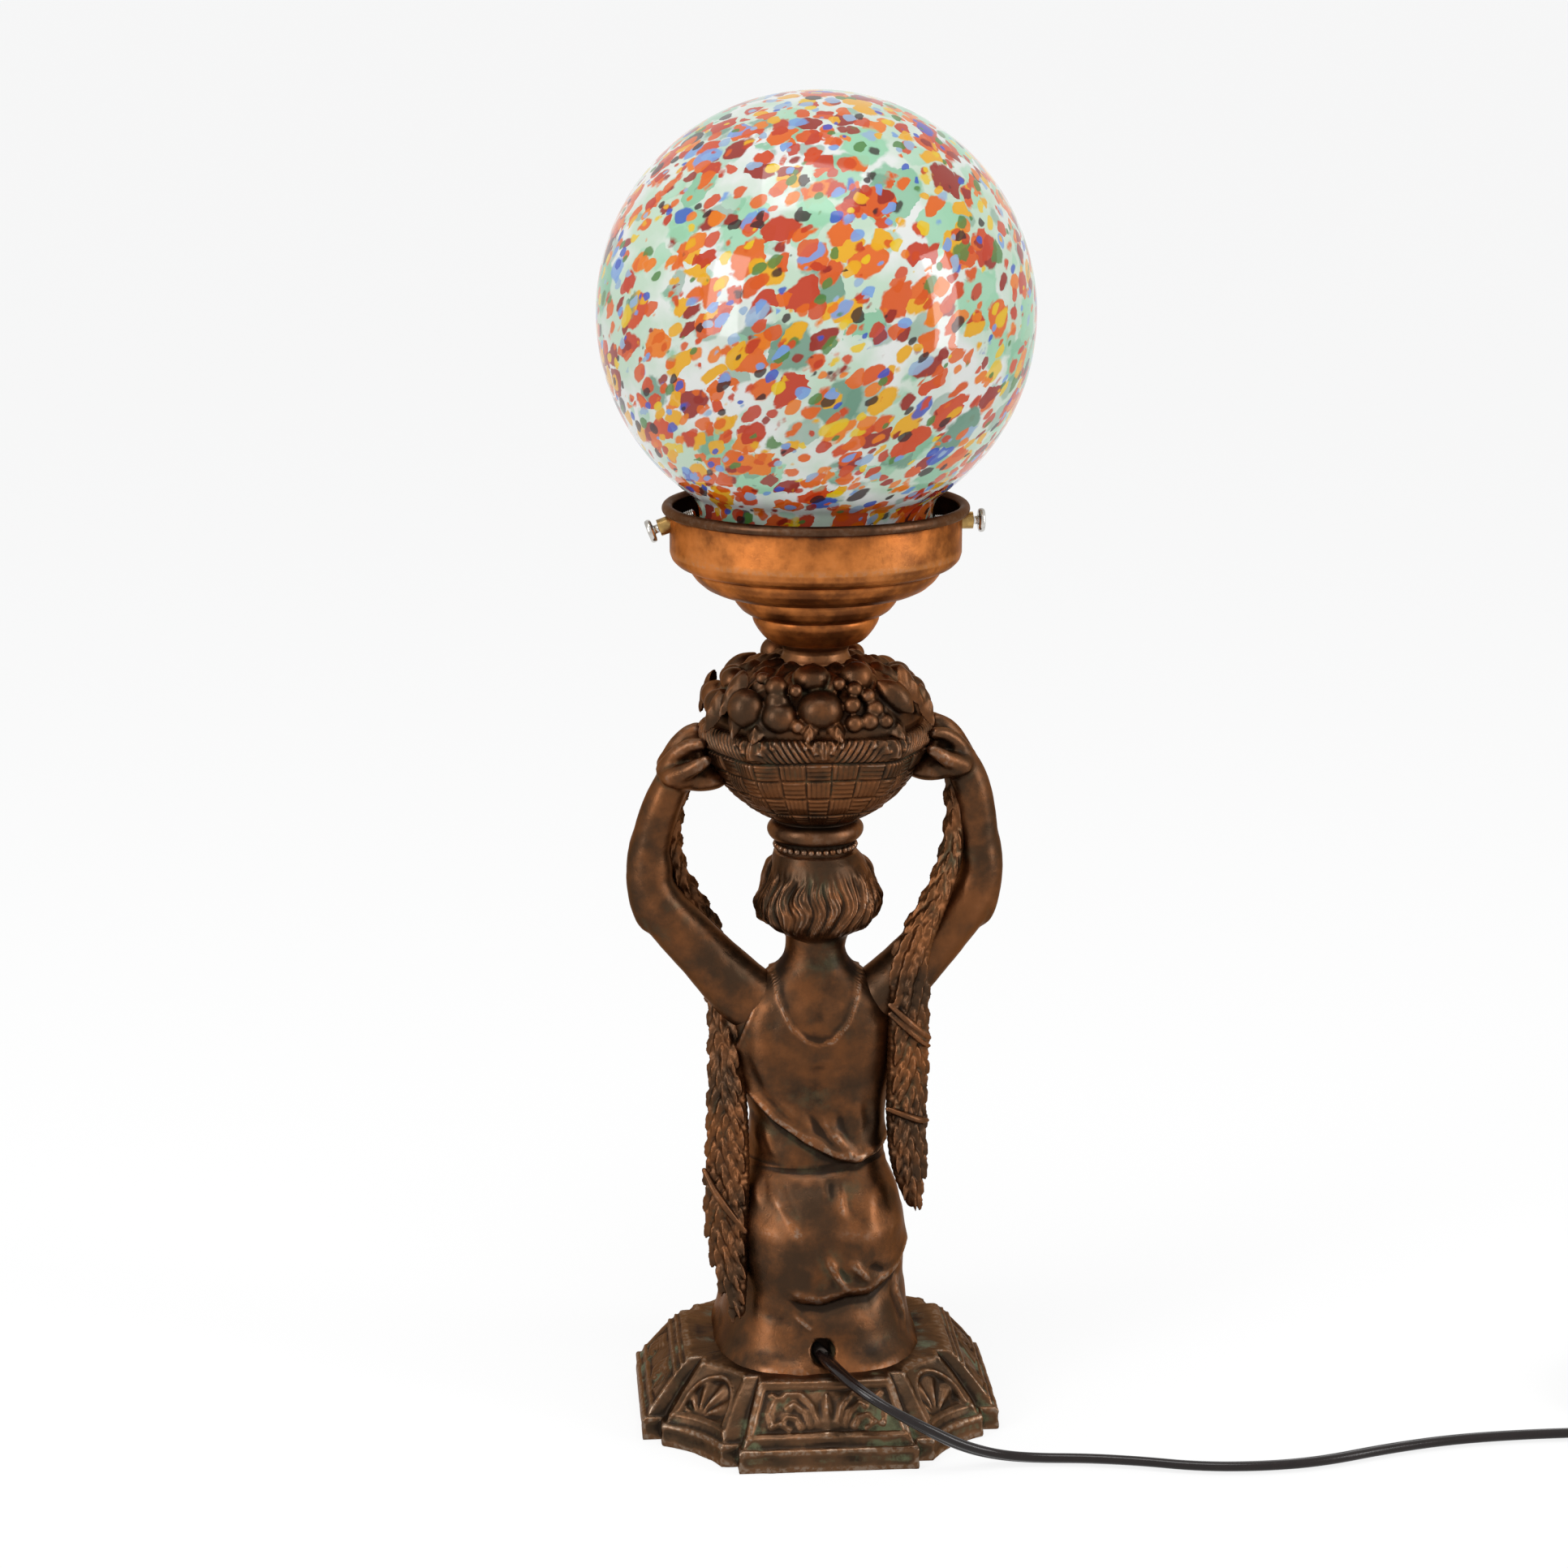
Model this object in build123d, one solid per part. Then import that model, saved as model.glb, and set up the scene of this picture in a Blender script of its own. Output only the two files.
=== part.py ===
from build123d import *
import math
import os

# Figural table lamp. Millimetres, +Z up, origin at the centre of the base's underside.
# The figure faces -Y; her back and the cord hole face +Y; her left arm is on +X.

# Base casting: a square with concave cut corners
base_across = 129.6
base_flat = 64.0  # length of the straight edge in the middle of each side
base_step = 6.6  # depth of the notch at each end of a flat
base_ledge = 6.0  # length of the notch's ledge
cant_hollow = 2.6  # how far each cut corner curves inwards
plinth_height = 10.8
plinth_ledge = 3.0
base_height = 28.0
plateau_across = 95.0
base_wall = 3.6

# Figure body: heights above the base's plateau
figure_wall = 3.6
neck_top = 152.0
neck_radius = 10.6
cord_passage_radius = 6.0
cord_hole_height = 6.5
cord_hole_radius = 4.5
# Each level is (height, half width, reach to the back, reach to the front).
BODY_LEVELS = [
    (0, 35.5, 36, 44),
    (13, 33.5, 34.5, 44.5),
    (25, 33, 33.5, 43),
    (37, 33.5, 34.5, 38),
    (49, 32.5, 34, 28),
    (61, 30, 30.5, 20),
    (73, 26, 24, 15.5),
    (85, 23, 18, 14.5),
    (99, 26.5, 17.5, 16.5),
    (112, 29.5, 18, 18),
    (124, 30, 17, 16.5),
    (133, 25, 14, 13.5),
    (139, 15.5, 11.5, 11.5),
    (neck_top - 8, neck_radius, neck_radius, neck_radius),
    (neck_top, neck_radius, neck_radius, neck_radius),
]
cavity_top = 133  # the level at which the hollow inside the body ends

# Head: heights above the neck's top
head_sink = 8.0  # how far the neck stands up inside the hair
hair_top_radius = 15.6
HEAD_LEVELS = [
    (-8, 12, 12, 13),
    (-4, 14.5, 14.5, 18),
    (3, 19, 19, 22),
    (10, 21.2, 21, 23),
    (17, 20, 20, 22),
    (24, 17.8, 18, 18.5),
    (29, hair_top_radius, hair_top_radius, hair_top_radius),
]
HEAD_CAVITY = [(5, 12, 13, 15), (12, 15, 15, 17), (19, 13.5, 14, 15), (24, 9, 9, 9)]

# Basket: heights above the crown of the head
basket_ring_radius = 17.0
basket_ring_thickness = 5.6
bead_ring_radius = 14.4
bead_ring_thickness = 3.2
basket_foot_height = 11.5
basket_foot_radius = 14.0
foot_cove = 0.8  # how much narrower the foot is at the bead ring
ring_gap = 0.9  # between the ring and the bowl
basket_wall = 3.6
# Each level is (height above the foot, half width, corner radius).
BASKET_LEVELS = [(0, 19, 18.6), (8, 26.5, 20), (17, 33.5, 20), (26.5, 39, 17), (28, 42.5, 15), (36.5, 42.5, 15)]
# Each level is (height above the rim, half width, corner radius).
FRUIT_LEVELS = [(0, 40.5, 17), (8, 38.5, 24), (15, 34.5, 27), (20, 28, 25), (22, 20, 19)]
fruit_wall = 3.6
boss_radius = 11.0
boss_depth = 10.0
# Fruit seen at the back: (angle, distance from the axis, height above the rim, radius)
FRUIT = [
    (90, 21, 18.5, 7.0),
    (91, 30.5, 10, 8.2),
    (108, 31, 13.5, 5.4),
    (112, 36, 6, 6.6),
    (128, 34, 8, 6.6),
    (66, 27, 16, 6.8),
    (74, 36.5, 7, 4.2),
    (62, 36.5, 9, 4.2),
    (44, 33, 12, 7.0),
    (270, 21, 18.5, 7.0),
    (268, 31, 10, 8.2),
    (248, 31, 13.5, 6.4),
    (228, 34, 8, 6.6),
    (292, 31, 11, 7.4),
    (316, 33, 11, 7.0),
    (0, 30, 12, 6.6),
    (22, 33, 9, 6.2),
    (180, 30, 12, 6.6),
    (158, 33, 9, 6.2),
    (202, 33, 9, 6.2),
    (338, 33, 9, 6.2),
]

# Arms: (x, y, height above the base's plateau, radius) along the left arm; both are alike
shoulder_height = 124.0
drawn_reach = 105.0  # from the shoulder to the basket's rim, for which the arms and garlands are drawn
ARM_PATH = [
    (20, 1, 124, 12),
    (30, 1, 134, 11.4),
    (38.2, 1, 143, 10.2),
    (47.5, 0, 153, 9.8),
    (55.8, 0, 163, 9.2),
    (59.6, 0, 172, 8.0),
    (60.2, 0, 181, 7.4),
    (57.6, 1, 193, 7.2),
    (52.6, 2, 205, 6.9),
    (46.5, 3, 212.5, 6.6),
]
hand_centre = (42.5, 3, 217.5)
hand_half_sizes = (9.5, 10, 10)

# Garlands: (x, y, height above the plateau, half width across x, half thickness)
LEFT_GARLAND = [
    (45.5, -5.5, 202, 4.0, 3.0),
    (49.5, -8.5, 188, 4.2, 3.4),
    (46.5, -11.5, 169, 5.0, 3.6),
    (39.5, -13, 152, 6.5, 4.0),
    (35.5, -12, 136, 8.0, 4.6),
    (34.5, -6, 118, 8.0, 5.0),
    (34.5, 2, 100, 8.4, 5.4),
    (35.2, 9, 80, 9.0, 6.0),
    (35.0, 15, 58, 9.0, 6.0),
    (33.5, 19, 42, 7.6, 5.4),
    (29.5, 24, 30, 3.8, 3.6),
]
RIGHT_GARLAND = [
    (-45.5, -4.5, 202, 4.0, 3.0),
    (-48.5, -6.5, 188, 4.4, 3.4),
    (-46.0, -5.5, 172, 5.0, 3.8),
    (-42.0, 3, 158, 6.0, 4.2),
    (-38.0, 12, 145, 7.5, 4.6),
    (-35.5, 15.5, 130, 7.8, 5.2),
    (-34.5, 15.5, 113, 8.2, 5.6),
    (-34.0, 16.5, 97, 7.8, 5.6),
    (-33.0, 18.5, 84, 6.4, 5.0),
    (-32.0, 21, 74, 3.4, 3.4),
]

# Collar, nipple and its nuts
collar_height = 8.0
collar_radius = 13.0
nipple_radius = 5.0
nipple_bore_radius = 3.4
thread_clearance = 0.05
nut_across_flats = 14.0
nut_height = 3.0
washer_radius = 9.0
washer_thickness = 1.2
nipple_foot = 1.5  # how far the nipple stands out under the lower nut

# Gallery
gallery_sheet = 0.8
gallery_wall_radius = 51.2
gallery_wall_top = 47.5
gallery_shoulder = 5.8  # from the wall in to the ledge's edge
gallery_ledge_height = 28.4
rim_bead_radius = 1.9
# Each step is (share of the ledge's radius, height above the collar), from the floor outwards.
GALLERY_STEPS = [
    (0.322, 0),
    (0.405, 1.9),
    (0.469, 5.4),
    (0.518, 9.6),
    (0.586, 11.4),
    (0.637, 14.6),
    (0.650, 17.0),
    (0.782, 18.8),
    (0.894, 20.8),
    (0.969, 23.8),
]

# Globe
globe_radius = 76.3
glass_thickness = 3.0
globe_lip_clearance = 1.4  # inside the gallery's wall
globe_lip_flare = 8.0  # from the neck out to the lip's edge
globe_lip_thickness = 3.5
globe_neck_height = 21.45  # from the underside of the lip to where the neck meets the ball

# Thumb screws
screw_angles = [0, 180, 270]
screw_droops = [21, 0, 0]  # how far each screw's outer end hangs, in degrees
screw_height = 13.0  # above the gallery's inner ledge
screw_radius = 2.0
screw_bore_clearance = 0.05
boss_outer_radius = 3.0
boss_length = 4.0
screw_tip_gap = 0.3
screw_shank_reach = 5.8  # out of the gallery's wall
screw_stub_radius = 1.2
screw_stub_length = 1.2
screw_head_radius = 4.2
screw_head_thickness = 2.4
screw_head_dish = 0.8

# Lampholder and bulb
holder_cap_entry_radius = 8.0
holder_cap_entry_height = 5.0
holder_radius = 19.8
holder_sheet = 0.8
holder_cap_height = 13.0
holder_shell_height = 40.0
insert_height = 12.0
contact_radius = 4.0
contact_height = 2.0
screw_shell_radius = 13.75
screw_shell_sheet = 0.5
screw_shell_height = 25.0
terminal_radius = 2.0
terminal_spread = 12.0
bulb_cap_radius = 13.15
bulb_cap_height = 25.5
bulb_cap_sheet = 0.4
bulb_contact_radius = 4.5
bulb_contact_height = 2.5
bulb_seat_gap = 0.3
bulb_glass_radius = 30.0
bulb_glass_height = 80.0
bulb_glass_sheet = 1.0
bulb_neck_radius = 12.6
bulb_stem_radius = 4.2
bulb_stem_height = 56.0
filament_radius = 0.6
filament_span = 26.0

# Cord and what is on it
cord_diameter = 4.6
coil_centre = (-322.0, 20.0)
coil_mean_radius = 32.0
coil_width = 15.0
coil_height = 13.0
tie_thickness = 1.0
tie_width = 7.0
plug_length = 27.0
plug_width = 23.0
plug_height = 15.0
plug_gap = 38.0  # from the coil's middle to the plug's cord end
blade_width = 6.3
blade_thickness = 1.5
blade_length = 17.5
blade_spacing = 12.7

# Heights of the stacked pieces
neck_top_z = base_height + neck_top
crown_z = neck_top_z + HEAD_LEVELS[-1][0]
basket_z = crown_z + basket_foot_height
rim_z = basket_z + BASKET_LEVELS[-1][0]
boss_top_z = rim_z + FRUIT_LEVELS[-1][0]
collar_top_z = boss_top_z + collar_height
gallery_floor_z = collar_top_z + gallery_sheet
ledge_z = collar_top_z + gallery_ledge_height + gallery_sheet
gallery_ledge_radius = gallery_wall_radius - gallery_shoulder
globe_lip_radius = gallery_wall_radius - gallery_sheet - globe_lip_clearance
globe_neck_radius = globe_lip_radius - globe_lip_flare
globe_centre_z = ledge_z + globe_neck_height + math.sqrt(globe_radius**2 - globe_neck_radius**2)
screw_shank_end = gallery_wall_radius + screw_shank_reach
screw_z = ledge_z + screw_height
holder_z = gallery_floor_z + nut_height
shell_z = holder_z + holder_cap_height
insert_z = shell_z - holder_sheet
contact_z = insert_z + insert_height
bulb_z = contact_z + contact_height + bulb_seat_gap
cord_radius = cord_diameter / 2
hole_z = base_height + cord_hole_height
cord_exit_z = hole_z - cord_hole_radius + cord_radius + 0.2
cord_exit_y = BODY_LEVELS[0][2]
coil_outer = coil_mean_radius + coil_width / 2

# Free cord, from the hole over the base's edge to the floor and away to the coil
CORD_ROUTE = [
    (0, cord_exit_y, cord_exit_z),
    (-3.4, cord_exit_y + 13, cord_exit_z),
    (-11.5, 61.8, 29),
    (-22.5, 68.6, 23.6),
    (-34.5, 69.6, 17),
    (-46.5, 67, 9.6),
    (-59, 63.8, 4.4),
    (-73, 63, cord_radius),
    (-92, 64.6, cord_radius),
    (-111, 68.6, cord_radius),
    (-130, 74.6, cord_radius),
    (-152, 77.2, cord_radius),
    (-174, 73.8, cord_radius),
    (-200, 64.4, cord_radius),
    (-228, 57.5, cord_radius),
    (-262, 55.3, cord_radius),
    (-292, 57.2, cord_radius),
    (coil_centre[0], coil_centre[1] + coil_outer - 3, cord_radius),
]


def main_solid(shape):
    """The largest solid of a shape, without slivers that a cut leaves."""
    solids = sorted(shape.solids(), key=lambda s: s.volume)
    return solids[-1]


def oval(height, half, back, front):
    """An oval slice of the figure at a height."""
    place = Plane((0, (back - front) / 2, height))
    return place * Ellipse(half, (back + front) / 2)


def oval_loft(levels, lift, inset=0.0):
    """A smooth solid through oval slices, each drawn in by the inset."""
    return loft([oval(z + lift, a - inset, b - inset, c - inset) for z, a, b, c in levels])


def square_loft(levels, lift, inset=0.0):
    """A ruled solid through squares with round corners."""
    slices = []
    for z, half, corner in levels:
        side = 2 * (half - inset)
        radius = min(max(corner - inset, 1), side / 2 - 0.2)
        slices.append(Plane((0, 0, z + lift)) * RectangleRounded(side, side, radius))
    return loft(slices, ruled=True)


def turned(points):
    """A solid of revolution from an outline in the XZ half plane."""
    return revolve(make_face(Plane.XZ * Polyline(*points, close=True)), Axis.Z)


def upright(radius, low, high, x=0.0, y=0.0):
    """An upright round bar from one height to another."""
    return Pos(x, y, (low + high) / 2) * Cylinder(radius, high - low)


def ring(outer, inner, low, high):
    """An upright tube from one height to another."""
    return upright(outer, low, high) - upright(inner, low - 1, high + 1)


def path_radii(points):
    """The largest arc that each corner's two runs allow."""
    corners = [Vector(*p) for p in points]
    radii = []
    for a, b, c in zip(corners, corners[1:], corners[2:]):
        turn = (b - a).get_angle(c - b)
        shorter = min((b - a).length, (c - b).length)
        radii.append(0.45 * shorter / math.tan(math.radians(turn) / 2))
    return radii


def round_tube(points, radius):
    """A tube along straight runs joined by tangent arcs."""
    path = FilletPolyline(*points, radius=path_radii(points))
    section = Plane(path @ 0, z_dir=path % 0) * Circle(radius)
    return sweep(section, path=path), path.length


def base_outline(inset, across, flat):
    """A square with a notch and a concave cut at each corner, drawn in by the inset."""
    half = across / 2 - inset
    end = flat / 2 - inset
    low = half - base_step
    ledge = flat / 2 + base_ledge - 0.4 * inset
    middle = (across / 2 - base_step + flat / 2 + base_ledge) / 2 - (cant_hollow + inset) / math.sqrt(2)
    edges = []
    for quarter in range(4):
        turn = Rot(0, 0, 90 * quarter)
        edges.append(turn * Line((half, -end), (half, end)))
        edges.append(turn * Line((half, end), (low, end)))
        edges.append(turn * Line((low, end), (low, ledge)))
        edges.append(turn * ThreePointArc((low, ledge), (middle, middle), (ledge, low)))
        edges.append(turn * Line((ledge, low), (end, low)))
        edges.append(turn * Line((end, low), (end, half)))
    return make_face(Curve() + edges)


def base_block(inset):
    """The base's outer form, or its hollow when drawn in by the wall."""
    lift = -1 if inset else 0
    plinth = extrude(Pos(0, 0, lift) * base_outline(inset, base_across, base_flat), plinth_height - lift)
    lower = Pos(0, 0, plinth_height) * base_outline(inset + plinth_ledge, base_across, base_flat)
    scale = plateau_across / base_across
    upper = Pos(0, 0, base_height - inset) * base_outline(inset, plateau_across, base_flat * scale)
    return plinth + loft([lower, upper], ruled=True)


def raised(height):
    """The height of a point of an arm or garland, which goes up with the basket's rim."""
    reach = rim_z - base_height - shoulder_height
    above = max(height - shoulder_height, 0)
    return base_height + min(height, shoulder_height) + above * reach / drawn_reach


def arm(side, body, basket):
    """A raised arm with its hand, cut to seat on the shoulder and the basket."""
    points = [Vector(side * x, y, raised(z)) for x, y, z, _ in ARM_PATH]
    slices = []
    for i, point in enumerate(points):
        after = points[min(i + 1, len(points) - 1)]
        before = points[max(i - 1, 0)]
        slices.append(Plane(point, x_dir=(0, 1, 0), z_dir=after - before) * Circle(ARM_PATH[i][3]))
    x, y, z = hand_centre
    hand = Pos(side * x, y, raised(z)) * scale(Sphere(1), by=hand_half_sizes)
    return main_solid(loft(slices) + hand - body - basket)


def garland(levels, *neighbours):
    """A tapering rope of leaves that hangs from a hand along the arm and the back."""
    slices = [Plane((x, y, raised(z))) * Ellipse(a, b) for x, y, z, a, b in levels]
    shape = loft(slices)
    for neighbour in neighbours:
        shape = shape - neighbour
    return main_solid(shape)


def hexagon_nut(low):
    """A hexagonal lock nut on the nipple."""
    body = extrude(Pos(0, 0, low) * RegularPolygon(nut_across_flats / 2, 6, major_radius=False), nut_height)
    return body - upright(nipple_radius + thread_clearance, low - 1, low + nut_height + 1)


def screw_frame(angle, droop):
    """A frame on the gallery wall whose Z axis points outwards along a screw."""
    turn = Rot(0, 0, angle)
    along = Vector(math.cos(math.radians(droop)), 0, -math.sin(math.radians(droop)))
    at_wall = Plane((gallery_wall_radius, 0, screw_z), x_dir=(0, 1, 0), z_dir=along)
    return turn * at_wall.location


def on_screw(angle, droop, radius, start, end):
    """A round bar on a screw's axis, between two distances from the lamp's axis."""
    low = start - gallery_wall_radius
    bar = Pos(0, 0, low + (end - start) / 2) * Cylinder(radius, end - start)
    return screw_frame(angle, droop) * bar


parts = {}

# Base and body
parts["base_casting"] = base_block(0) - base_block(base_wall)

body_full = oval_loft(BODY_LEVELS, base_height)
hollow_levels = [level for level in BODY_LEVELS if level[0] <= cavity_top]
body_hollow = oval_loft(hollow_levels, base_height, figure_wall)
passage = upright(cord_passage_radius, base_height + cavity_top - 12, neck_top_z + 1)
cord_hole = Pos(0, cord_exit_y, hole_z) * Rot(90, 0, 0) * Cylinder(cord_hole_radius, 24)
parts["figure_body"] = main_solid(body_full - body_hollow - passage - cord_hole)

# Head, hollow, seated over the neck
head_full = oval_loft(HEAD_LEVELS, neck_top_z)
head_hollow = oval_loft(HEAD_CAVITY, neck_top_z)
head_passage = upright(cord_passage_radius, neck_top_z - head_sink, crown_z + 1)
parts["head"] = main_solid(head_full - head_hollow - head_passage - body_full)

# Basket on the crown, fruit on its rim
bead_top_z = crown_z + bead_ring_thickness
ring_top_z = basket_z - ring_gap
ring_low_z = ring_top_z - basket_ring_thickness
waist = basket_foot_radius - foot_cove
foot_edges = [
    Line((0, crown_z), (waist, crown_z)),
    ThreePointArc((waist, crown_z), (bead_ring_radius, (crown_z + bead_top_z) / 2), (waist, bead_top_z)),
    Line((waist, bead_top_z), (basket_foot_radius, ring_low_z)),
    ThreePointArc(
        (basket_foot_radius, ring_low_z),
        (basket_ring_radius, (ring_low_z + ring_top_z) / 2),
        (basket_foot_radius, ring_top_z),
    ),
    Line((basket_foot_radius, ring_top_z), (basket_foot_radius, basket_z + 1)),
    Line((basket_foot_radius, basket_z + 1), (0, basket_z + 1)),
    Line((0, basket_z + 1), (0, crown_z)),
]
foot = revolve(make_face(Plane.XZ * (Curve() + foot_edges)), Axis.Z)
basket_full = square_loft(BASKET_LEVELS, basket_z) + foot
bowl_levels = [(BASKET_LEVELS[0][0] + basket_wall, *BASKET_LEVELS[0][1:])] + BASKET_LEVELS[1:4]
bowl_levels.append((BASKET_LEVELS[-1][0] + 1, *BASKET_LEVELS[3][1:]))
bowl_hollow = square_loft(bowl_levels, basket_z, basket_wall)
foot_passage = upright(cord_passage_radius, crown_z - 1, basket_z + 8)
parts["basket"] = main_solid(basket_full - bowl_hollow - foot_passage)

heap = square_loft(FRUIT_LEVELS, rim_z)
heap_hollow = square_loft([(z - fruit_wall, a, r) for z, a, r in FRUIT_LEVELS], rim_z, fruit_wall)
heap_boss = upright(boss_radius, boss_top_z - boss_depth, boss_top_z)
heap = heap - heap_hollow + heap_boss
for angle, distance, height, radius in FRUIT:
    heap += Rot(0, 0, angle) * Pos(distance, 0, rim_z + height) * Sphere(radius)
heap -= upright(70, rim_z - 30, rim_z)
heap -= upright(collar_radius + 0.3, boss_top_z, boss_top_z + 20)
heap -= heap_hollow - heap_boss
heap -= upright(nipple_radius + thread_clearance, rim_z - 20, boss_top_z + 1)
parts["fruit_heap"] = main_solid(heap)

# Arms and garlands
parts["right_arm"] = arm(-1, body_full, basket_full + parts["fruit_heap"])
parts["left_arm"] = mirror(parts["right_arm"], about=Plane.YZ)
parts["left_garland"] = garland(LEFT_GARLAND, body_full, parts["left_arm"])
parts["right_garland"] = garland(RIGHT_GARLAND, body_full, parts["right_arm"])

# Collar, nipple, washer and nuts
collar = ring(collar_radius, nipple_radius + thread_clearance, boss_top_z, collar_top_z)
parts["collar"] = collar
boss_foot_z = boss_top_z - boss_depth
nut_foot_z = boss_foot_z - washer_thickness - nut_height
nipple_top_z = holder_z + holder_cap_entry_height
parts["nipple"] = ring(nipple_radius, nipple_bore_radius, nut_foot_z - nipple_foot, nipple_top_z)
nipple_bore = nipple_radius + thread_clearance
parts["nipple_washer"] = ring(washer_radius, nipple_bore, boss_foot_z - washer_thickness, boss_foot_z)
parts["lock_nuts"] = Compound(children=[hexagon_nut(nut_foot_z), hexagon_nut(gallery_floor_z)])

# Gallery: three rounded steps and a wall with a rolled rim
steps = [(share * gallery_ledge_radius, z + collar_top_z) for share, z in GALLERY_STEPS]
steps.append((gallery_ledge_radius, collar_top_z + gallery_ledge_height))
steps.append((gallery_wall_radius, collar_top_z + gallery_ledge_height))
wall_top_z = collar_top_z + gallery_wall_top
outer = [(0, collar_top_z), *steps, (gallery_wall_radius, wall_top_z), (0, wall_top_z)]
lifted = [(r - gallery_sheet, z + gallery_sheet) for r, z in steps]
inner_radius = gallery_wall_radius - gallery_sheet
inner = [(0, gallery_floor_z), *lifted, (inner_radius, wall_top_z + 1), (0, wall_top_z + 1)]
gallery_full = turned(outer)
rim_bead = Pos(0, 0, wall_top_z) * Torus(gallery_wall_radius + rim_bead_radius / 2, rim_bead_radius)
gallery = gallery_full - turned(inner) + rim_bead
gallery -= upright(nipple_bore, collar_top_z - 1, gallery_floor_z + 1)

# Screw bosses, shanks and heads
bosses = []
boss_seat = screw_radius + 0.6
for number, (angle, droop) in enumerate(zip(screw_angles, screw_droops), start=1):
    bore = on_screw(angle, droop, screw_radius + screw_bore_clearance, 40, 70)
    body = on_screw(angle, droop, boss_outer_radius, gallery_wall_radius - 3, gallery_wall_radius + boss_length)
    spigot = on_screw(angle, droop, boss_seat, gallery_wall_radius - 3, gallery_wall_radius + 1)
    gallery -= on_screw(angle, droop, boss_seat, gallery_wall_radius - 4, gallery_wall_radius + 4)
    spigot -= upright(inner_radius, screw_z - 20, screw_z + 20)
    bosses.append(main_solid(body - upright(gallery_wall_radius, screw_z - 20, screw_z + 20) + spigot - bore))
    tip = globe_neck_radius + screw_tip_gap
    tilt = math.cos(math.radians(droop))
    slant = screw_radius * math.tan(math.radians(droop))
    start = gallery_wall_radius - (gallery_wall_radius - tip) / tilt + slant
    stub_end = screw_shank_end + screw_stub_length
    shank = on_screw(angle, droop, screw_radius, start, screw_shank_end)
    shank += on_screw(angle, droop, screw_stub_radius, screw_shank_end - 1, stub_end)
    head_end = screw_shank_end + screw_head_thickness
    head = on_screw(angle, droop, screw_head_radius, screw_shank_end, head_end)
    socket = screw_stub_radius + screw_bore_clearance
    head -= on_screw(angle, droop, socket, screw_shank_end - 1, stub_end + screw_bore_clearance)
    head -= on_screw(angle, droop, screw_head_radius - 1, head_end - screw_head_dish, head_end + 1)
    parts[f"screw_shank_{number}"] = shank
    parts[f"screw_head_{number}"] = head
parts["gallery"] = main_solid(gallery)
parts["screw_bosses"] = Compound(children=bosses)

# Globe: a ball with a straight neck and a lip
lip = ring(globe_lip_radius, globe_neck_radius - 1, ledge_z, ledge_z + globe_lip_thickness)
neck_inner = globe_neck_radius - glass_thickness
globe_full = Pos(0, 0, globe_centre_z) * Sphere(globe_radius)
globe_full += upright(globe_neck_radius, ledge_z, globe_centre_z) + lip
globe_hollow = Pos(0, 0, globe_centre_z) * Sphere(globe_radius - glass_thickness)
globe_hollow += upright(neck_inner, ledge_z - 1, globe_centre_z)
parts["globe"] = main_solid(globe_full - globe_hollow)

# Lampholder
cap_outline = [
    (nipple_bore, holder_z),
    (holder_cap_entry_radius, holder_z),
    (holder_cap_entry_radius, holder_z + holder_cap_entry_height),
    (holder_radius, shell_z - 4),
    (holder_radius, shell_z),
    (holder_radius - holder_sheet, shell_z),
    (holder_radius - holder_sheet, shell_z - 4 + holder_sheet),
    (holder_cap_entry_radius - holder_sheet, holder_z + holder_cap_entry_height + holder_sheet),
    (nipple_bore, holder_z + holder_cap_entry_height + holder_sheet),
]
shell_top_z = shell_z + holder_shell_height
parts["holder_cap"] = turned(cap_outline)
parts["holder_shell"] = ring(holder_radius, holder_radius - holder_sheet, shell_z, shell_top_z)
insert = upright(holder_radius - holder_sheet - 0.05, insert_z, contact_z)
parts["holder_insert"] = insert
parts["centre_contact"] = upright(contact_radius, contact_z, contact_z + contact_height)
shell_bore = screw_shell_radius - screw_shell_sheet
parts["screw_shell"] = ring(screw_shell_radius, shell_bore, contact_z, contact_z + screw_shell_height)
terminals = []
for side in (1, -1):
    terminals.append(upright(terminal_radius, insert_z - 2.5, insert_z, side * terminal_spread))
parts["terminal_screws"] = Compound(children=terminals)

# Bulb: solder contact, screw cap, glass, stem and filament
cap_foot_z = bulb_z + bulb_contact_height
cap_top_z = bulb_z + bulb_cap_height
parts["bulb_contact"] = upright(bulb_contact_radius, bulb_z, cap_foot_z)
bulb_cap = turned([
    (0, cap_foot_z),
    (bulb_contact_radius, cap_foot_z),
    (bulb_cap_radius - 1, cap_foot_z + 5),
    (bulb_cap_radius, cap_foot_z + 6),
    (bulb_cap_radius, cap_top_z),
    (bulb_cap_radius - bulb_cap_sheet, cap_top_z),
    (bulb_cap_radius - bulb_cap_sheet, cap_foot_z + 6.5),
    (bulb_contact_radius, cap_foot_z + 1),
    (0, cap_foot_z + 1),
])
parts["bulb_cap"] = bulb_cap
glass_top_z = cap_top_z + bulb_glass_height
ball_z = glass_top_z - bulb_glass_radius


def bulb_form(inset):
    """The bulb's glass outline, or its hollow when drawn in by the sheet."""
    neck = bulb_neck_radius - inset
    ball = bulb_glass_radius - inset
    low = cap_top_z - 4 - (1 if inset else 0)
    belly = 0.8 * ball
    drop = ball_z - 0.6 * ball
    flank = Spline((neck, cap_top_z + 4), (belly, drop), tangents=[(0, 1), (0.6, 0.8)])
    edges = [
        Line((0, low), (neck, low)),
        Line((neck, low), (neck, cap_top_z + 4)),
        flank,
        ThreePointArc((belly, drop), (ball, ball_z), (0, ball_z + ball)),
        Line((0, ball_z + ball), (0, low)),
    ]
    return revolve(make_face(Plane.XZ * (Curve() + edges)), Axis.Z)


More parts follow.
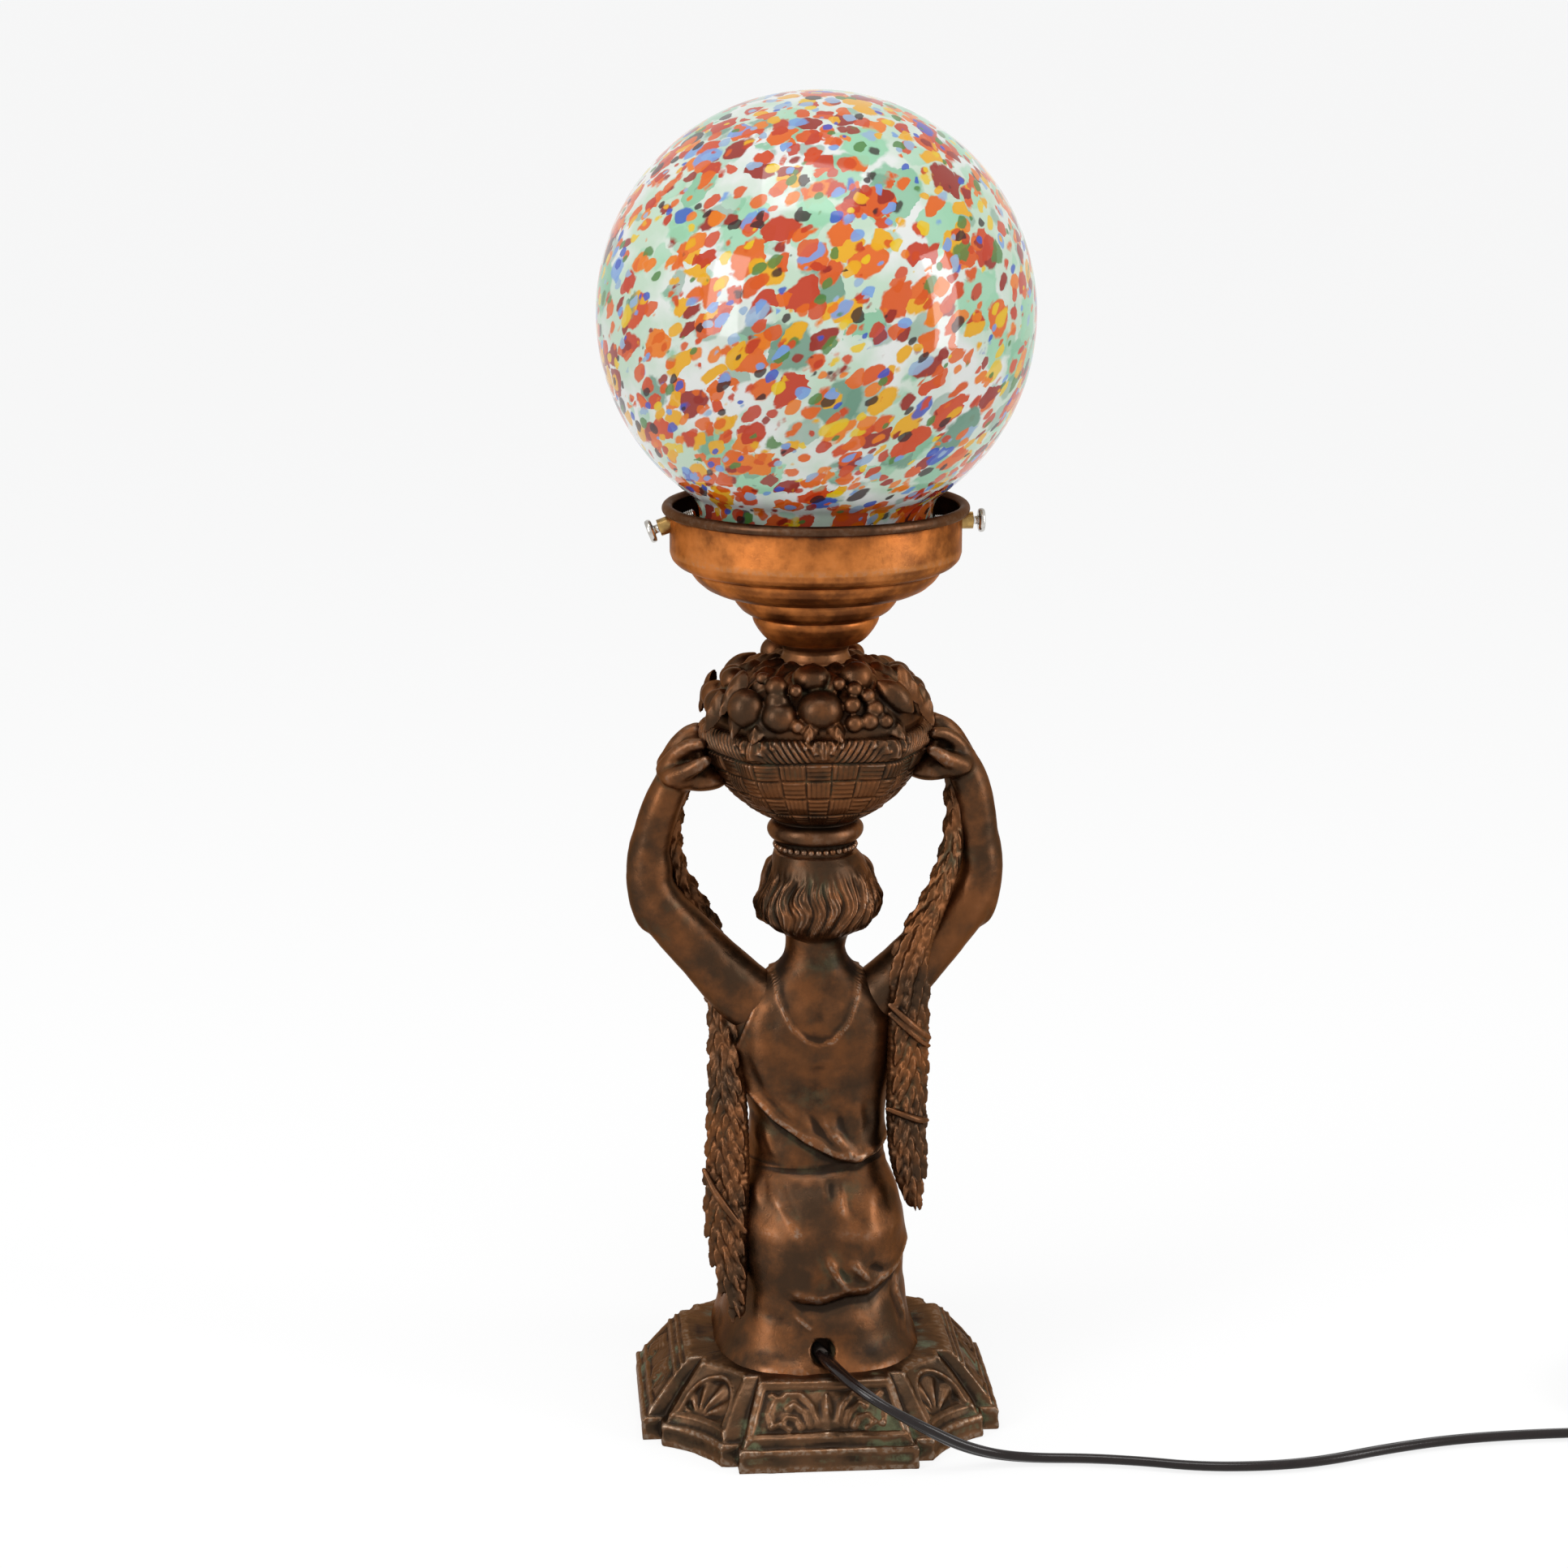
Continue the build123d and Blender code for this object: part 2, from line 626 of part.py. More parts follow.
parts["bulb_glass"] = bulb_form(0) - bulb_form(bulb_glass_sheet)
stem_foot_z = cap_foot_z + 1
stem_top_z = stem_foot_z + bulb_stem_height
parts["bulb_stem"] = upright(bulb_stem_radius, stem_foot_z, stem_top_z)
parts["filament"] = Pos(0, 0, stem_top_z + filament_radius) * Rot(0, 90, 0) * Cylinder(filament_radius, filament_span)

# Cord inside the lamp, then the free cord, its coil, tie and plug
inner_route = [
    (0, cord_exit_y, cord_exit_z),
    (6.0, cord_exit_y - 23, cord_exit_z),
    (0, 0, cord_exit_z + 34),
    (0, 0, insert_z),
]
parts["inner_cord"], inner_length = round_tube(inner_route, cord_radius)
cord, cord_length = round_tube(CORD_ROUTE, cord_radius)
coil_place = Pos(coil_centre[0], coil_centre[1], coil_height / 2)
coil_ring = coil_place * (
    Cylinder(coil_outer, coil_height) - Cylinder(coil_mean_radius - coil_width / 2, coil_height + 2)
)
parts["cord"] = main_solid(cord - coil_ring)
tie_turn = Rot(0, 0, 120)
tie_box = Box(coil_width + 2 * tie_thickness, tie_width, coil_height)
tie_core = Box(coil_width, tie_width + 2, coil_height - 2 * tie_thickness)
tie = coil_place * tie_turn * Pos(coil_mean_radius, 0, 0) * (tie_box - tie_core)
parts["coil_tie"] = tie
parts["cord_coil"] = main_solid(coil_ring - tie)

# Plug: the cord leaves the coil's far side and the plug lies beside it
lead_x = coil_centre[0] - coil_mean_radius
lead_z = plug_height / 2
plug_foot_y = coil_centre[1] - plug_gap
lead_length = plug_gap
lead = Pos(lead_x, plug_foot_y + lead_length / 2, lead_z) * Rot(90, 0, 0) * Cylinder(cord_radius, lead_length)
parts["plug_lead"] = main_solid(lead - coil_ring)
plug_end = Plane((lead_x, plug_foot_y, lead_z), x_dir=(1, 0, 0), z_dir=(0, -1, 0))
parts["plug_body"] = loft(
    [
        plug_end * RectangleRounded(cord_diameter + 4, cord_diameter + 3, 3),
        plug_end.offset(plug_length * 0.45) * RectangleRounded(plug_width * 0.86, plug_height * 0.8, 4),
        plug_end.offset(plug_length) * RectangleRounded(plug_width, plug_height, 4),
    ],
    ruled=True,
)
blades = []
for side in (1, -1):
    blade = Pos(side * blade_spacing / 2, 0, plug_length + blade_length / 2)
    blades.append(plug_end.location * blade * Box(blade_thickness, blade_width, blade_length))
parts["plug_blades"] = Compound(children=blades)

os.makedirs("parts", exist_ok=True)
for name, shape in parts.items():
    export_step(shape, f"parts/{name}.step")

print("inner cord", round(inner_length), "mm; tube volume over section times length",
      round(parts["inner_cord"].volume / (math.pi * cord_radius**2 * inner_length), 3))
print("free cord", round(cord_length), "mm; tube volume over section times length",
      round(cord.volume / (math.pi * cord_radius**2 * cord_length), 3))
print("arc radii", [round(r) for r in path_radii(CORD_ROUTE)])
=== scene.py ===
# A bronzed figural table lamp with a spatter-glass globe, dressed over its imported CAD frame.
import math
import random

import bmesh
import bpy
import numpy as np
from mathutils import Matrix, Vector
from mathutils.bvhtree import BVHTree
from mathutils.noise import noise as air_noise


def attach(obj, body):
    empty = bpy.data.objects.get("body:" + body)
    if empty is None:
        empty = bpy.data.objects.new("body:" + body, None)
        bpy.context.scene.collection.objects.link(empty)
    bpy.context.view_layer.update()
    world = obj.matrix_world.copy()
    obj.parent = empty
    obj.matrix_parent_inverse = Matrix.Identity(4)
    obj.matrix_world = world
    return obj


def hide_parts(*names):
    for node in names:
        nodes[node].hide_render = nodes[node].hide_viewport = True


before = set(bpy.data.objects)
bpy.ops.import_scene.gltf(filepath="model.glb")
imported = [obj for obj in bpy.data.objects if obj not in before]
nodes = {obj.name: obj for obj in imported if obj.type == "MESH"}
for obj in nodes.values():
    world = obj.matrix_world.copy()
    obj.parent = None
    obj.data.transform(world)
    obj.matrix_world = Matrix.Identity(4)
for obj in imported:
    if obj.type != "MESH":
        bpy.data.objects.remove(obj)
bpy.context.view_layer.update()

# ---------------------------------------------------------------------------------------
# Camera: a long lens behind the figure, a little above the middle of the lamp and looking
# slightly down, so that the whole lamp and the floor in front of it are in the picture.
camera_place = (0.10895, 1.2908, 0.5486)
camera_turn = (math.radians(76.387), 0.0, math.radians(175.669))
lens = bpy.data.cameras.new("camera")
lens.sensor_width = 36.0
lens.lens = 86.03
lens.clip_end = 200.0
camera = bpy.data.objects.new("camera", lens)
camera.location = camera_place
camera.rotation_euler = camera_turn
bpy.context.scene.collection.objects.link(camera)
bpy.context.scene.camera = camera
bpy.context.scene.view_settings.view_transform = "Standard"

# ---------------------------------------------------------------------------------------
# Studio: a wide pale floor, a white room and three soft lamps. The floor looks white to the
# camera and to reflections and still takes the lamp's soft shadow.


def new_material(name):
    made = bpy.data.materials.new(name)
    made.use_nodes = True
    tree = made.node_tree
    return made, tree, tree.nodes["Principled BSDF"]


def node(tree, kind, inputs=(), **settings):
    made = tree.nodes.new(kind)
    for key, value in settings.items():
        setattr(made, key, value)
    for key, value in dict(inputs).items():
        if isinstance(value, bpy.types.NodeSocket):
            tree.links.new(value, made.inputs[key])
        else:
            made.inputs[key].default_value = value
    return made


def seen_ray(tree):
    """1 for the rays that the camera sees, straight, by a reflection or through glass."""
    ray = node(tree, "ShaderNodeLightPath")
    two = node(tree, "ShaderNodeMath", {0: ray.outputs["Is Camera Ray"],
                                        1: ray.outputs["Is Glossy Ray"]}, operation="MAXIMUM")
    return node(tree, "ShaderNodeMath", {0: two.outputs[0],
                                         1: ray.outputs["Is Transmission Ray"]},
                operation="MAXIMUM").outputs[0]


floor_mesh = bmesh.new()
bmesh.ops.create_grid(floor_mesh, x_segments=2, y_segments=2, size=40.0)
floor_data = bpy.data.meshes.new("floor")
floor_mesh.to_mesh(floor_data)
floor_mesh.free()
floor = bpy.data.objects.new("floor", floor_data)
bpy.context.scene.collection.objects.link(floor)
floor_paint, tree, skin = new_material("pale_floor")
skin.inputs["Base Color"].default_value = (0.86, 0.86, 0.85, 1)
skin.inputs["Roughness"].default_value = 0.75
skin.inputs["Specular IOR Level"].default_value = 0.1
white = node(tree, "ShaderNodeEmission", {"Color": (1, 1, 1, 1), "Strength": 1.0})
share = node(tree, "ShaderNodeMath", {0: seen_ray(tree), 1: 0.84}, operation="MULTIPLY")
mixed = node(tree, "ShaderNodeMixShader", {0: share.outputs[0], 1: skin.outputs[0],
                                           2: white.outputs[0]})
tree.links.new(mixed.outputs[0], tree.nodes["Material Output"].inputs["Surface"])
floor_data.materials.append(floor_paint)

room = bpy.data.worlds.new("room")
room.use_nodes = True
bpy.context.scene.world = room
tree = room.node_tree
soft = tree.nodes["Background"]
soft.inputs["Color"].default_value = (0.80, 0.81, 0.83, 1)
soft.inputs["Strength"].default_value = 0.72
plain = node(tree, "ShaderNodeBackground", {"Color": (1, 1, 1, 1), "Strength": 1.0})
mixed = node(tree, "ShaderNodeMixShader", {0: seen_ray(tree), 1: soft.outputs[0],
                                           2: plain.outputs[0]})
tree.links.new(mixed.outputs[0], tree.nodes["World Output"].inputs["Surface"])


def soft_lamp(name, place, aim, size, watts):
    light = bpy.data.lights.new(name, "AREA")
    light.shape = "RECTANGLE"
    light.size, light.size_y = size
    light.energy = watts
    lamp = bpy.data.objects.new(name, light)
    lamp.location = place
    lamp.rotation_euler = (Vector(aim) - Vector(place)).to_track_quat("-Z", "Y").to_euler()
    bpy.context.scene.collection.objects.link(lamp)


soft_lamp("left_softbox", (1.25, 0.95, 0.75), (0, 0, 0.24), (0.5, 1.1), 14)
soft_lamp("right_softbox", (-1.35, 0.65, 0.6), (0, 0, 0.24), (0.4, 1.1), 12)
soft_lamp("top_softbox", (0.1, 0.4, 1.7), (0, 0, 0.2), (1.0, 0.7), 13)
bpy.context.view_layer.update()

# ---------------------------------------------------------------------------------------
# Cord: dark brown flat twin flex, two round cores side by side with a groove between them.
# It comes out of the hole behind the figure, drops over the base and runs off along the
# floor, and the rest of a six-foot lead is put away in a tied coil that ends at its plug.
cord_width = 0.0062
cord_thickness = 0.0034
cord_route = [
    (0.0, 0.036, 0.0325), (-0.0034, 0.049, 0.0325), (-0.0115, 0.0618, 0.029),
    (-0.0225, 0.0686, 0.0236), (-0.0345, 0.0696, 0.017), (-0.0465, 0.067, 0.0096),
    (-0.059, 0.0638, 0.0044), (-0.073, 0.063, 0.0023), (-0.092, 0.0646, 0.0023),
    (-0.111, 0.0686, 0.0023), (-0.130, 0.0746, 0.0023), (-0.152, 0.0762, 0.0023),
    (-0.174, 0.0738, 0.0023), (-0.200, 0.0644, 0.0023), (-0.228, 0.0575, 0.0023),
    (-0.262, 0.0553, 0.0023), (-0.292, 0.0572, 0.0027),
]
coil_middle = (-0.322, 0.020)
coil_outer, coil_inner = 0.038, 0.0261
coil_layers = (0.0031, 0.0093)
turns_in_layer, turns_climbing = 3.4, 0.45
points_in_turn = 14

turn_count = 2 * turns_in_layer + turns_climbing
for step in range(int(turn_count * points_in_turn) + 1):
    turned = step / points_in_turn
    if turned < turns_in_layer:
        inward, climb = turned / turns_in_layer, 0.0
    elif turned < turns_in_layer + turns_climbing:
        inward, climb = 1.0, (turned - turns_in_layer) / turns_climbing
    else:
        inward, climb = 1.0 - (turned - turns_in_layer - turns_climbing) / turns_in_layer, 1.0
    radius = (coil_outer + (coil_inner - coil_outer) * inward) / math.cos(math.pi / points_in_turn)
    angle = math.radians(90.0) + 2 * math.pi * turned
    cord_route.append((coil_middle[0] + radius * math.cos(angle),
                       coil_middle[1] + radius * math.sin(angle),
                       coil_layers[0] + (coil_layers[1] - coil_layers[0]) * climb))
coil_end_x = coil_middle[0] - coil_outer
plug_foot = (-0.354, -0.018, 0.0075)
cord_route += [(coil_end_x - 0.0003, 0.012, 0.0092), (coil_end_x + 0.0012, 0.002, 0.0085),
               (plug_foot[0] - 0.0012, -0.008, 0.0077), (plug_foot[0], plug_foot[1] - 0.004, plug_foot[2])]


def smooth_line(name, points):
    """The points of a quadratic NURBS line through the route, and its length."""
    curve = bpy.data.curves.new(name, "CURVE")
    curve.dimensions = "3D"
    spline = curve.splines.new("NURBS")
    spline.points.add(len(points) - 1)
    for made, place in zip(spline.points, points):
        made.co = (*place, 1.0)
    spline.order_u = 3
    spline.use_endpoint_u = True
    spline.resolution_u = 6
    route = bpy.data.objects.new(name, curve)
    flat = bpy.data.meshes.new_from_object(route)
    line = [v.co.copy() for v in flat.vertices]
    bpy.data.meshes.remove(flat)
    bpy.data.objects.remove(route)
    bpy.data.curves.remove(curve)
    return line, sum((b - a).length for a, b in zip(line, line[1:]))


def link_piece(name, mesh, *materials):
    """Writes a finished bmesh to an object with smooth faces."""
    data = bpy.data.meshes.new(name)
    for face in mesh.faces:
        face.smooth = True
    mesh.to_mesh(data)
    mesh.free()
    for material in materials:
        data.materials.append(material)
    piece = bpy.data.objects.new(name, data)
    bpy.context.scene.collection.objects.link(piece)
    return piece


def sweep(mesh, line, outline, turned=None, scaled=None):
    """Draws a closed outline along a line. outline holds (across, up) pairs, turned tilts the
    outline along the way and scaled narrows it."""
    ring = [mesh.verts.new((0, 0, 0)) for _ in outline]
    first = [mesh.edges.new((ring[k], ring[(k + 1) % len(ring)])) for k in range(len(ring))]
    edges = first
    for k, place in enumerate(line):
        if k:
            grown = bmesh.ops.extrude_edge_only(mesh, edges=edges)["geom"]
            edges = [g for g in grown if isinstance(g, bmesh.types.BMEdge)
                     and g.verts[0] not in ring and g.verts[1] not in ring]
            follow = {}
            for edge in (g for g in grown if isinstance(g, bmesh.types.BMFace)):
                for a in edge.edges:
                    if (a.verts[0] in ring) != (a.verts[1] in ring):
                        old, new = a.verts if a.verts[0] in ring else reversed(a.verts)
                        follow[old] = new
            ring = [follow[v] for v in ring]
            edges = [mesh.edges.get((ring[j], ring[(j + 1) % len(ring)])) for j in range(len(ring))]
        along = (line[min(k + 1, len(line) - 1)] - line[max(k - 1, 0)]).normalized()
        across = along.cross(Vector((0, 0, 1)))
        across = across.normalized() if across.length > 1e-4 else Vector((1, 0, 0))
        up = across.cross(along)
        tilt = turned(k / (len(line) - 1)) if turned else 0.0
        size = scaled(k / (len(line) - 1)) if scaled else 1.0
        for v, (a, b) in zip(ring, outline):
            c = a * math.cos(tilt) - b * math.sin(tilt)
            d = a * math.sin(tilt) + b * math.cos(tilt)
            v.co = place + (across * c + up * d) * size
    bmesh.ops.contextual_create(mesh, geom=first)
    bmesh.ops.contextual_create(mesh, geom=edges)
    bmesh.ops.recalc_face_normals(mesh, faces=mesh.faces[:])


core_radius = cord_thickness / 2
core_spacing = cord_width / 2 - core_radius
twin_outline = []
for side in (1, -1):
    for k in range(13):
        a = math.radians(-138 + 23 * k)
        twin_outline.append((side * (core_spacing + core_radius * math.cos(a)),
                             side * core_radius * math.sin(a)))

cord_line, cord_length = smooth_line("cord_route", cord_route)
free_share = 0.36 / cord_length


def flex_tilt(along):
    """Tilted a little on the floor and turned up on edge where it is wound in the coil."""
    wound = min(max((along - free_share * 0.8) / (free_share * 0.25), 0.0), 1.0)
    wound = wound * wound * (3 - 2 * wound)
    waved = 0.42 + 0.10 * math.sin(along * cord_length * 24.0)
    return waved * (1 - wound) + math.pi / 2 * wound


mesh = bmesh.new()
sweep(mesh, cord_line, twin_outline, turned=flex_tilt)
flex, tree, skin = new_material("dark_brown_flex")
place = node(tree, "ShaderNodeTexCoord")
mottle = node(tree, "ShaderNodeTexNoise", {"Vector": place.outputs["Object"], "Scale": 260.0,
                                           "Detail": 4.0, "Roughness": 0.6})
tone = node(tree, "ShaderNodeMix", {0: mottle.outputs[0], 6: (0.0040, 0.0021, 0.0018, 1),
                                    7: (0.0105, 0.0056, 0.0048, 1)}, data_type="RGBA")
tree.links.new(tone.outputs[2], skin.inputs["Base Color"])
rub = node(tree, "ShaderNodeMapRange", {0: mottle.outputs[0], 3: 0.15, 4: 0.26})
tree.links.new(rub.outputs[0], skin.inputs["Roughness"])
grain = node(tree, "ShaderNodeTexNoise", {"Vector": place.outputs["Object"], "Scale": 1800.0,
                                          "Detail": 2.0})
bump = node(tree, "ShaderNodeBump", {"Height": grain.outputs[0], "Strength": 0.12,
                                     "Distance": 0.0002})
tree.links.new(bump.outputs[0], skin.inputs["Normal"])
skin.inputs["Specular IOR Level"].default_value = 0.3
twin_flex = link_piece("twin_flex", mesh, flex)
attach(twin_flex, "lamp")
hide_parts("cord", "cord_coil", "plug_lead")

# Plug: a moulded two-blade plug with a tapered, ribbed strain relief, lying beside the coil.
# Its folded brass blades are the CAD's own.
plug_length, plug_width, plug_height = 0.027, 0.023, 0.015
mesh = bmesh.new()
plug_line = [Vector((plug_foot[0], plug_foot[1] - t, plug_foot[2])) for t in
             [0.0001 * k for k in (0, 6, 12, 30, 36, 42, 48, 54, 60, 66, 72, 78, 84, 100, 125, 150,
                                   180, 200, 206, 212, 235, 241, 247, 262, 268, 270)]]
plug_outline = []
for k in range(40):
    a = 2 * math.pi * k / 40
    c, s = math.cos(a), math.sin(a)
    plug_outline.append((math.copysign(abs(c) ** 0.55, c), math.copysign(abs(s) ** 0.55, s)))
ring_sizes = [(4.6, 3.4), (5.4, 4.2), (5.7, 4.5), (5.9, 4.6), (5.0, 3.9), (5.0, 3.9), (6.4, 4.9),
              (6.4, 4.9), (5.3, 4.2), (5.3, 4.2), (7.0, 5.3), (7.0, 5.3), (6.4, 4.8), (8.4, 5.6),
              (9.8, 6.1), (10.6, 6.5), (11.0, 6.8), (11.1, 6.9), (10.6, 6.5), (11.2, 7.0),
              (11.3, 7.2), (10.8, 6.7), (11.4, 7.3), (11.5, 7.5), (11.1, 7.1), (10.5, 6.5)]
sweep(mesh, plug_line, plug_outline)
mesh.verts.ensure_lookup_table()
for v in mesh.verts:
    k = min(range(len(plug_line)), key=lambda j: abs(plug_line[j].y - v.co.y))
    w, h = ring_sizes[k]
    v.co.x = plug_foot[0] + (v.co.x - plug_foot[0]) * w * 0.001
    v.co.z = plug_foot[2] + (v.co.z - plug_foot[2]) * h * 0.001
bmesh.ops.recalc_face_normals(mesh, faces=mesh.faces[:])
plug_plastic, tree, skin = new_material("moulded_plug")
place = node(tree, "ShaderNodeTexCoord")
cloud = node(tree, "ShaderNodeTexNoise", {"Vector": place.outputs["Object"], "Scale": 320.0,
                                          "Detail": 5.0})
tone = node(tree, "ShaderNodeMix", {0: cloud.outputs[0], 6: (0.016, 0.010, 0.009, 1),
                                    7: (0.034, 0.022, 0.019, 1)}, data_type="RGBA")
tree.links.new(tone.outputs[2], skin.inputs["Base Color"])
skin.inputs["Roughness"].default_value = 0.42
bump = node(tree, "ShaderNodeBump", {"Height": cloud.outputs[0], "Strength": 0.15,
                                     "Distance": 0.0003})
tree.links.new(bump.outputs[0], skin.inputs["Normal"])
plug = link_piece("moulded_plug", mesh, plug_plastic)
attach(plug, "lamp")
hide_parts("plug_body")

# ---------------------------------------------------------------------------------------
# Base: a hollow octagonal casting of bronzed spelter. Four flat sides stand out past four
# hollowed corners, and its slope carries the relief: leaf fans on the front and back,
# shells under arches on the corners, and leaves beside a double moulding on the sides.


def loft(mesh, rows):
    """Draws a closed skin through rings of points, from one end to the other."""
    ring = bmesh.ops.create_circle(mesh, segments=len(rows[0]), radius=1.0)["verts"]
    rings = [ring]
    for _ in rows[1:]:
        edges = [mesh.edges.get((ring[k - 1], ring[k])) for k in range(len(ring))]
        grown = bmesh.ops.extrude_edge_only(mesh, edges=edges)["geom"]
        new = {g for g in grown if isinstance(g, bmesh.types.BMVert)}
        ring = [next(e.other_vert(v) for e in v.link_edges if e.other_vert(v) in new) for v in ring]
        rings.append(ring)
    for ring, row in zip(rings, rows):
        for v, place in zip(ring, row):
            v.co = place
    for ring in (rings[0], rings[-1]):
        bmesh.ops.contextual_create(mesh, geom=[mesh.edges.get((ring[k - 1], ring[k]))
                                                for k in range(len(ring))])
    bmesh.ops.recalc_face_normals(mesh, faces=mesh.faces[:])
    return rings


def smooth(low, high, value):
    """0 below low and 1 above high, with a soft change between."""
    t = np.clip((value - low) / (high - low), 0, 1)
    return t * t * (3 - 2 * t)


def from_path(x, z, path):
    """How far each point is from a path, on which side, and how far along the nearest place is."""
    best, side, share = np.full(x.shape, 1e9), np.zeros(x.shape), np.zeros(x.shape)
    lengths = [math.dist(a, b) for a, b in zip(path, path[1:])]
    for k, ((ax, az), (bx, bz)) in enumerate(zip(path, path[1:])):
        dx, dz = bx - ax, bz - az
        t = np.clip(((x - ax) * dx + (z - az) * dz) / lengths[k] ** 2, 0, 1)
        far = np.hypot(x - ax - t * dx, z - az - t * dz)
        near = far < best
        best = np.where(near, far, best)
        side = np.where(near, np.sign(dx * (z - az) - dz * (x - ax)), side)
        share = np.where(near, (sum(lengths[:k]) + t * lengths[k]) / sum(lengths), share)
    return best, side, share


def ridge(x, z, path, width, height, fade=0.12):
    """A rounded ridge along a path, or a groove when its height is negative."""
    far, _, share = from_path(x, z, path)
    ends = smooth(0, fade, share) * smooth(0, fade, 1 - share) if fade else 1.0
    return height * np.exp(-(far / width) ** 2) * ends


def mound(x, z, middle, reach, height):
    """A soft round swelling."""
    return height * np.exp(-((x - middle[0]) / reach[0]) ** 2 - ((z - middle[1]) / reach[1]) ** 2)


def uneven(points, scale, seed=0.0):
    """Soft hand-worked unevenness from -1 to 1 at points in millimetres."""
    return np.array([air_noise(Vector((p[0] * scale + seed, p[1] * scale, p[2] * scale)))
                     for p in points])


def mark_hollows(piece, reach=10):
    """Stores how far each point stands proud of the skin around it, in millimetres."""
    data = piece.data
    count = len(data.vertices)
    place, normal = np.empty(count * 3), np.empty(count * 3)
    data.vertices.foreach_get("co", place)
    data.vertices.foreach_get("normal", normal)
    ends = np.empty(len(data.edges) * 2, int)
    data.edges.foreach_get("vertices", ends)
    place, normal, ends = place.reshape(-1, 3), normal.reshape(-1, 3), ends.reshape(-1, 2)
    shares = np.bincount(ends.ravel(), minlength=count) + 1.0
    soft = place.copy()
    for _ in range(reach):
        total = soft.copy()
        for k in range(3):
            total[:, k] += np.bincount(ends[:, 0], soft[ends[:, 1], k], count)
            total[:, k] += np.bincount(ends[:, 1], soft[ends[:, 0], k], count)
        soft = total / shares[:, None]
    proud = ((place - soft) * normal).sum(1) * 1000
    data.attributes.new("proud", "FLOAT", "POINT").data.foreach_set("value", proud)


base_half, base_flat_half, base_notch, base_ledge_half = 64.8, 32.0, 58.2, 38.0
plateau_scale = 95.0 / 129.6
flat_steps, notch_steps, corner_steps = 76, 7, 58


def base_ring(inset, scale):
    """The base's outline at one level: flats, notches and hollow corners, drawn in."""
    half, flat = base_half * scale - inset, base_flat_half * scale - inset * 0.8
    notch, ledge = base_notch * scale - inset, base_ledge_half * scale - inset * 0.45
    places = []
    for quarter in range(4):
        c, s = math.cos(quarter * math.pi / 2), math.sin(quarter * math.pi / 2)
        side = [(half, -flat + 2 * flat * k / flat_steps) for k in range(flat_steps)]
        side += [(half + (notch - half) * k / notch_steps, flat) for k in range(notch_steps)]
        side += [(notch, flat + (ledge - flat) * k / notch_steps) for k in range(notch_steps)]
        for k in range(corner_steps):
            t = k / corner_steps
            hollow = 2.6 * scale * 4 * t * (1 - t) / math.sqrt(2)
            side.append((notch + (ledge - notch) * t - hollow, ledge + (notch - ledge) * t - hollow))
        side += [(ledge + (flat - ledge) * k / notch_steps, notch) for k in range(notch_steps)]
        side += [(flat, notch + (half - notch) * k / notch_steps) for k in range(notch_steps)]
        places += [(x * c - y * s, x * s + y * c) for x, y in side]
    return places


def base_column_kinds():
    """What each column of the base crosses, and how far it is from the middle, -1 to 1."""
    kinds, across = [], []
    for quarter in range(4):
        kinds += ["side" if quarter % 2 == 0 else "end"] * flat_steps
        across += [2 * k / flat_steps - 1 for k in range(flat_steps)]
        kinds += ["notch"] * (2 * notch_steps) + ["corner"] * corner_steps
        across += [1.0] * (2 * notch_steps) + [2 * k / corner_steps - 1 for k in range(corner_steps)]
        kinds += ["notch"] * (2 * notch_steps)
        across += [-1.0] * (2 * notch_steps)
    return np.array(kinds), np.array(across)


slope_rows = 46
rows, slope_shares = [], []
for inset, height in ((9.5, 24.0), (3.9, 12.0), (3.4, 6.0), (3.2, 1.0), (2.6, 0.0), (0.9, 0.0)):
    rows.append([(x, y, height) for x, y in base_ring(inset, 1.0)])
    slope_shares.append(None)
rows[0] = [(x * 0.72, y * 0.72, height) for x, y, height in rows[0]]
for inset, height in ((0.25, 0.35), (0.0, 1.1), (0.05, 2.4), (0.3, 4.0), (0.3, 5.6), (0.05, 7.0),
                      (0.15, 7.7), (0.55, 8.3), (1.1, 8.6), (1.7, 8.8), (2.2, 9.2), (2.5, 9.9)):
    rows.append([(x, y, height) for x, y in base_ring(inset, 1.0)])
    slope_shares.append(None)
for k in range(slope_rows):
    t = k / (slope_rows - 1)
    scale, inset = 1 + (plateau_scale - 1) * t, 2.8 * (1 - t)
    bow = 0.9 * math.sin(math.pi * t)
    rows.append([(x, y, 10.6 + 17.2 * t + bow) for x, y in base_ring(inset, scale)])
    slope_shares.append(t)
for shrink, height in ((0.985, 28.05), (0.96, 28.1), (0.9, 28.05), (0.8, 28.0), (0.6, 28.0), (0.3, 28.0),
                       (0.05, 28.0)):
    rows.append([(x * shrink, y * shrink, height) for x, y in base_ring(0, plateau_scale)])
    slope_shares.append(None)

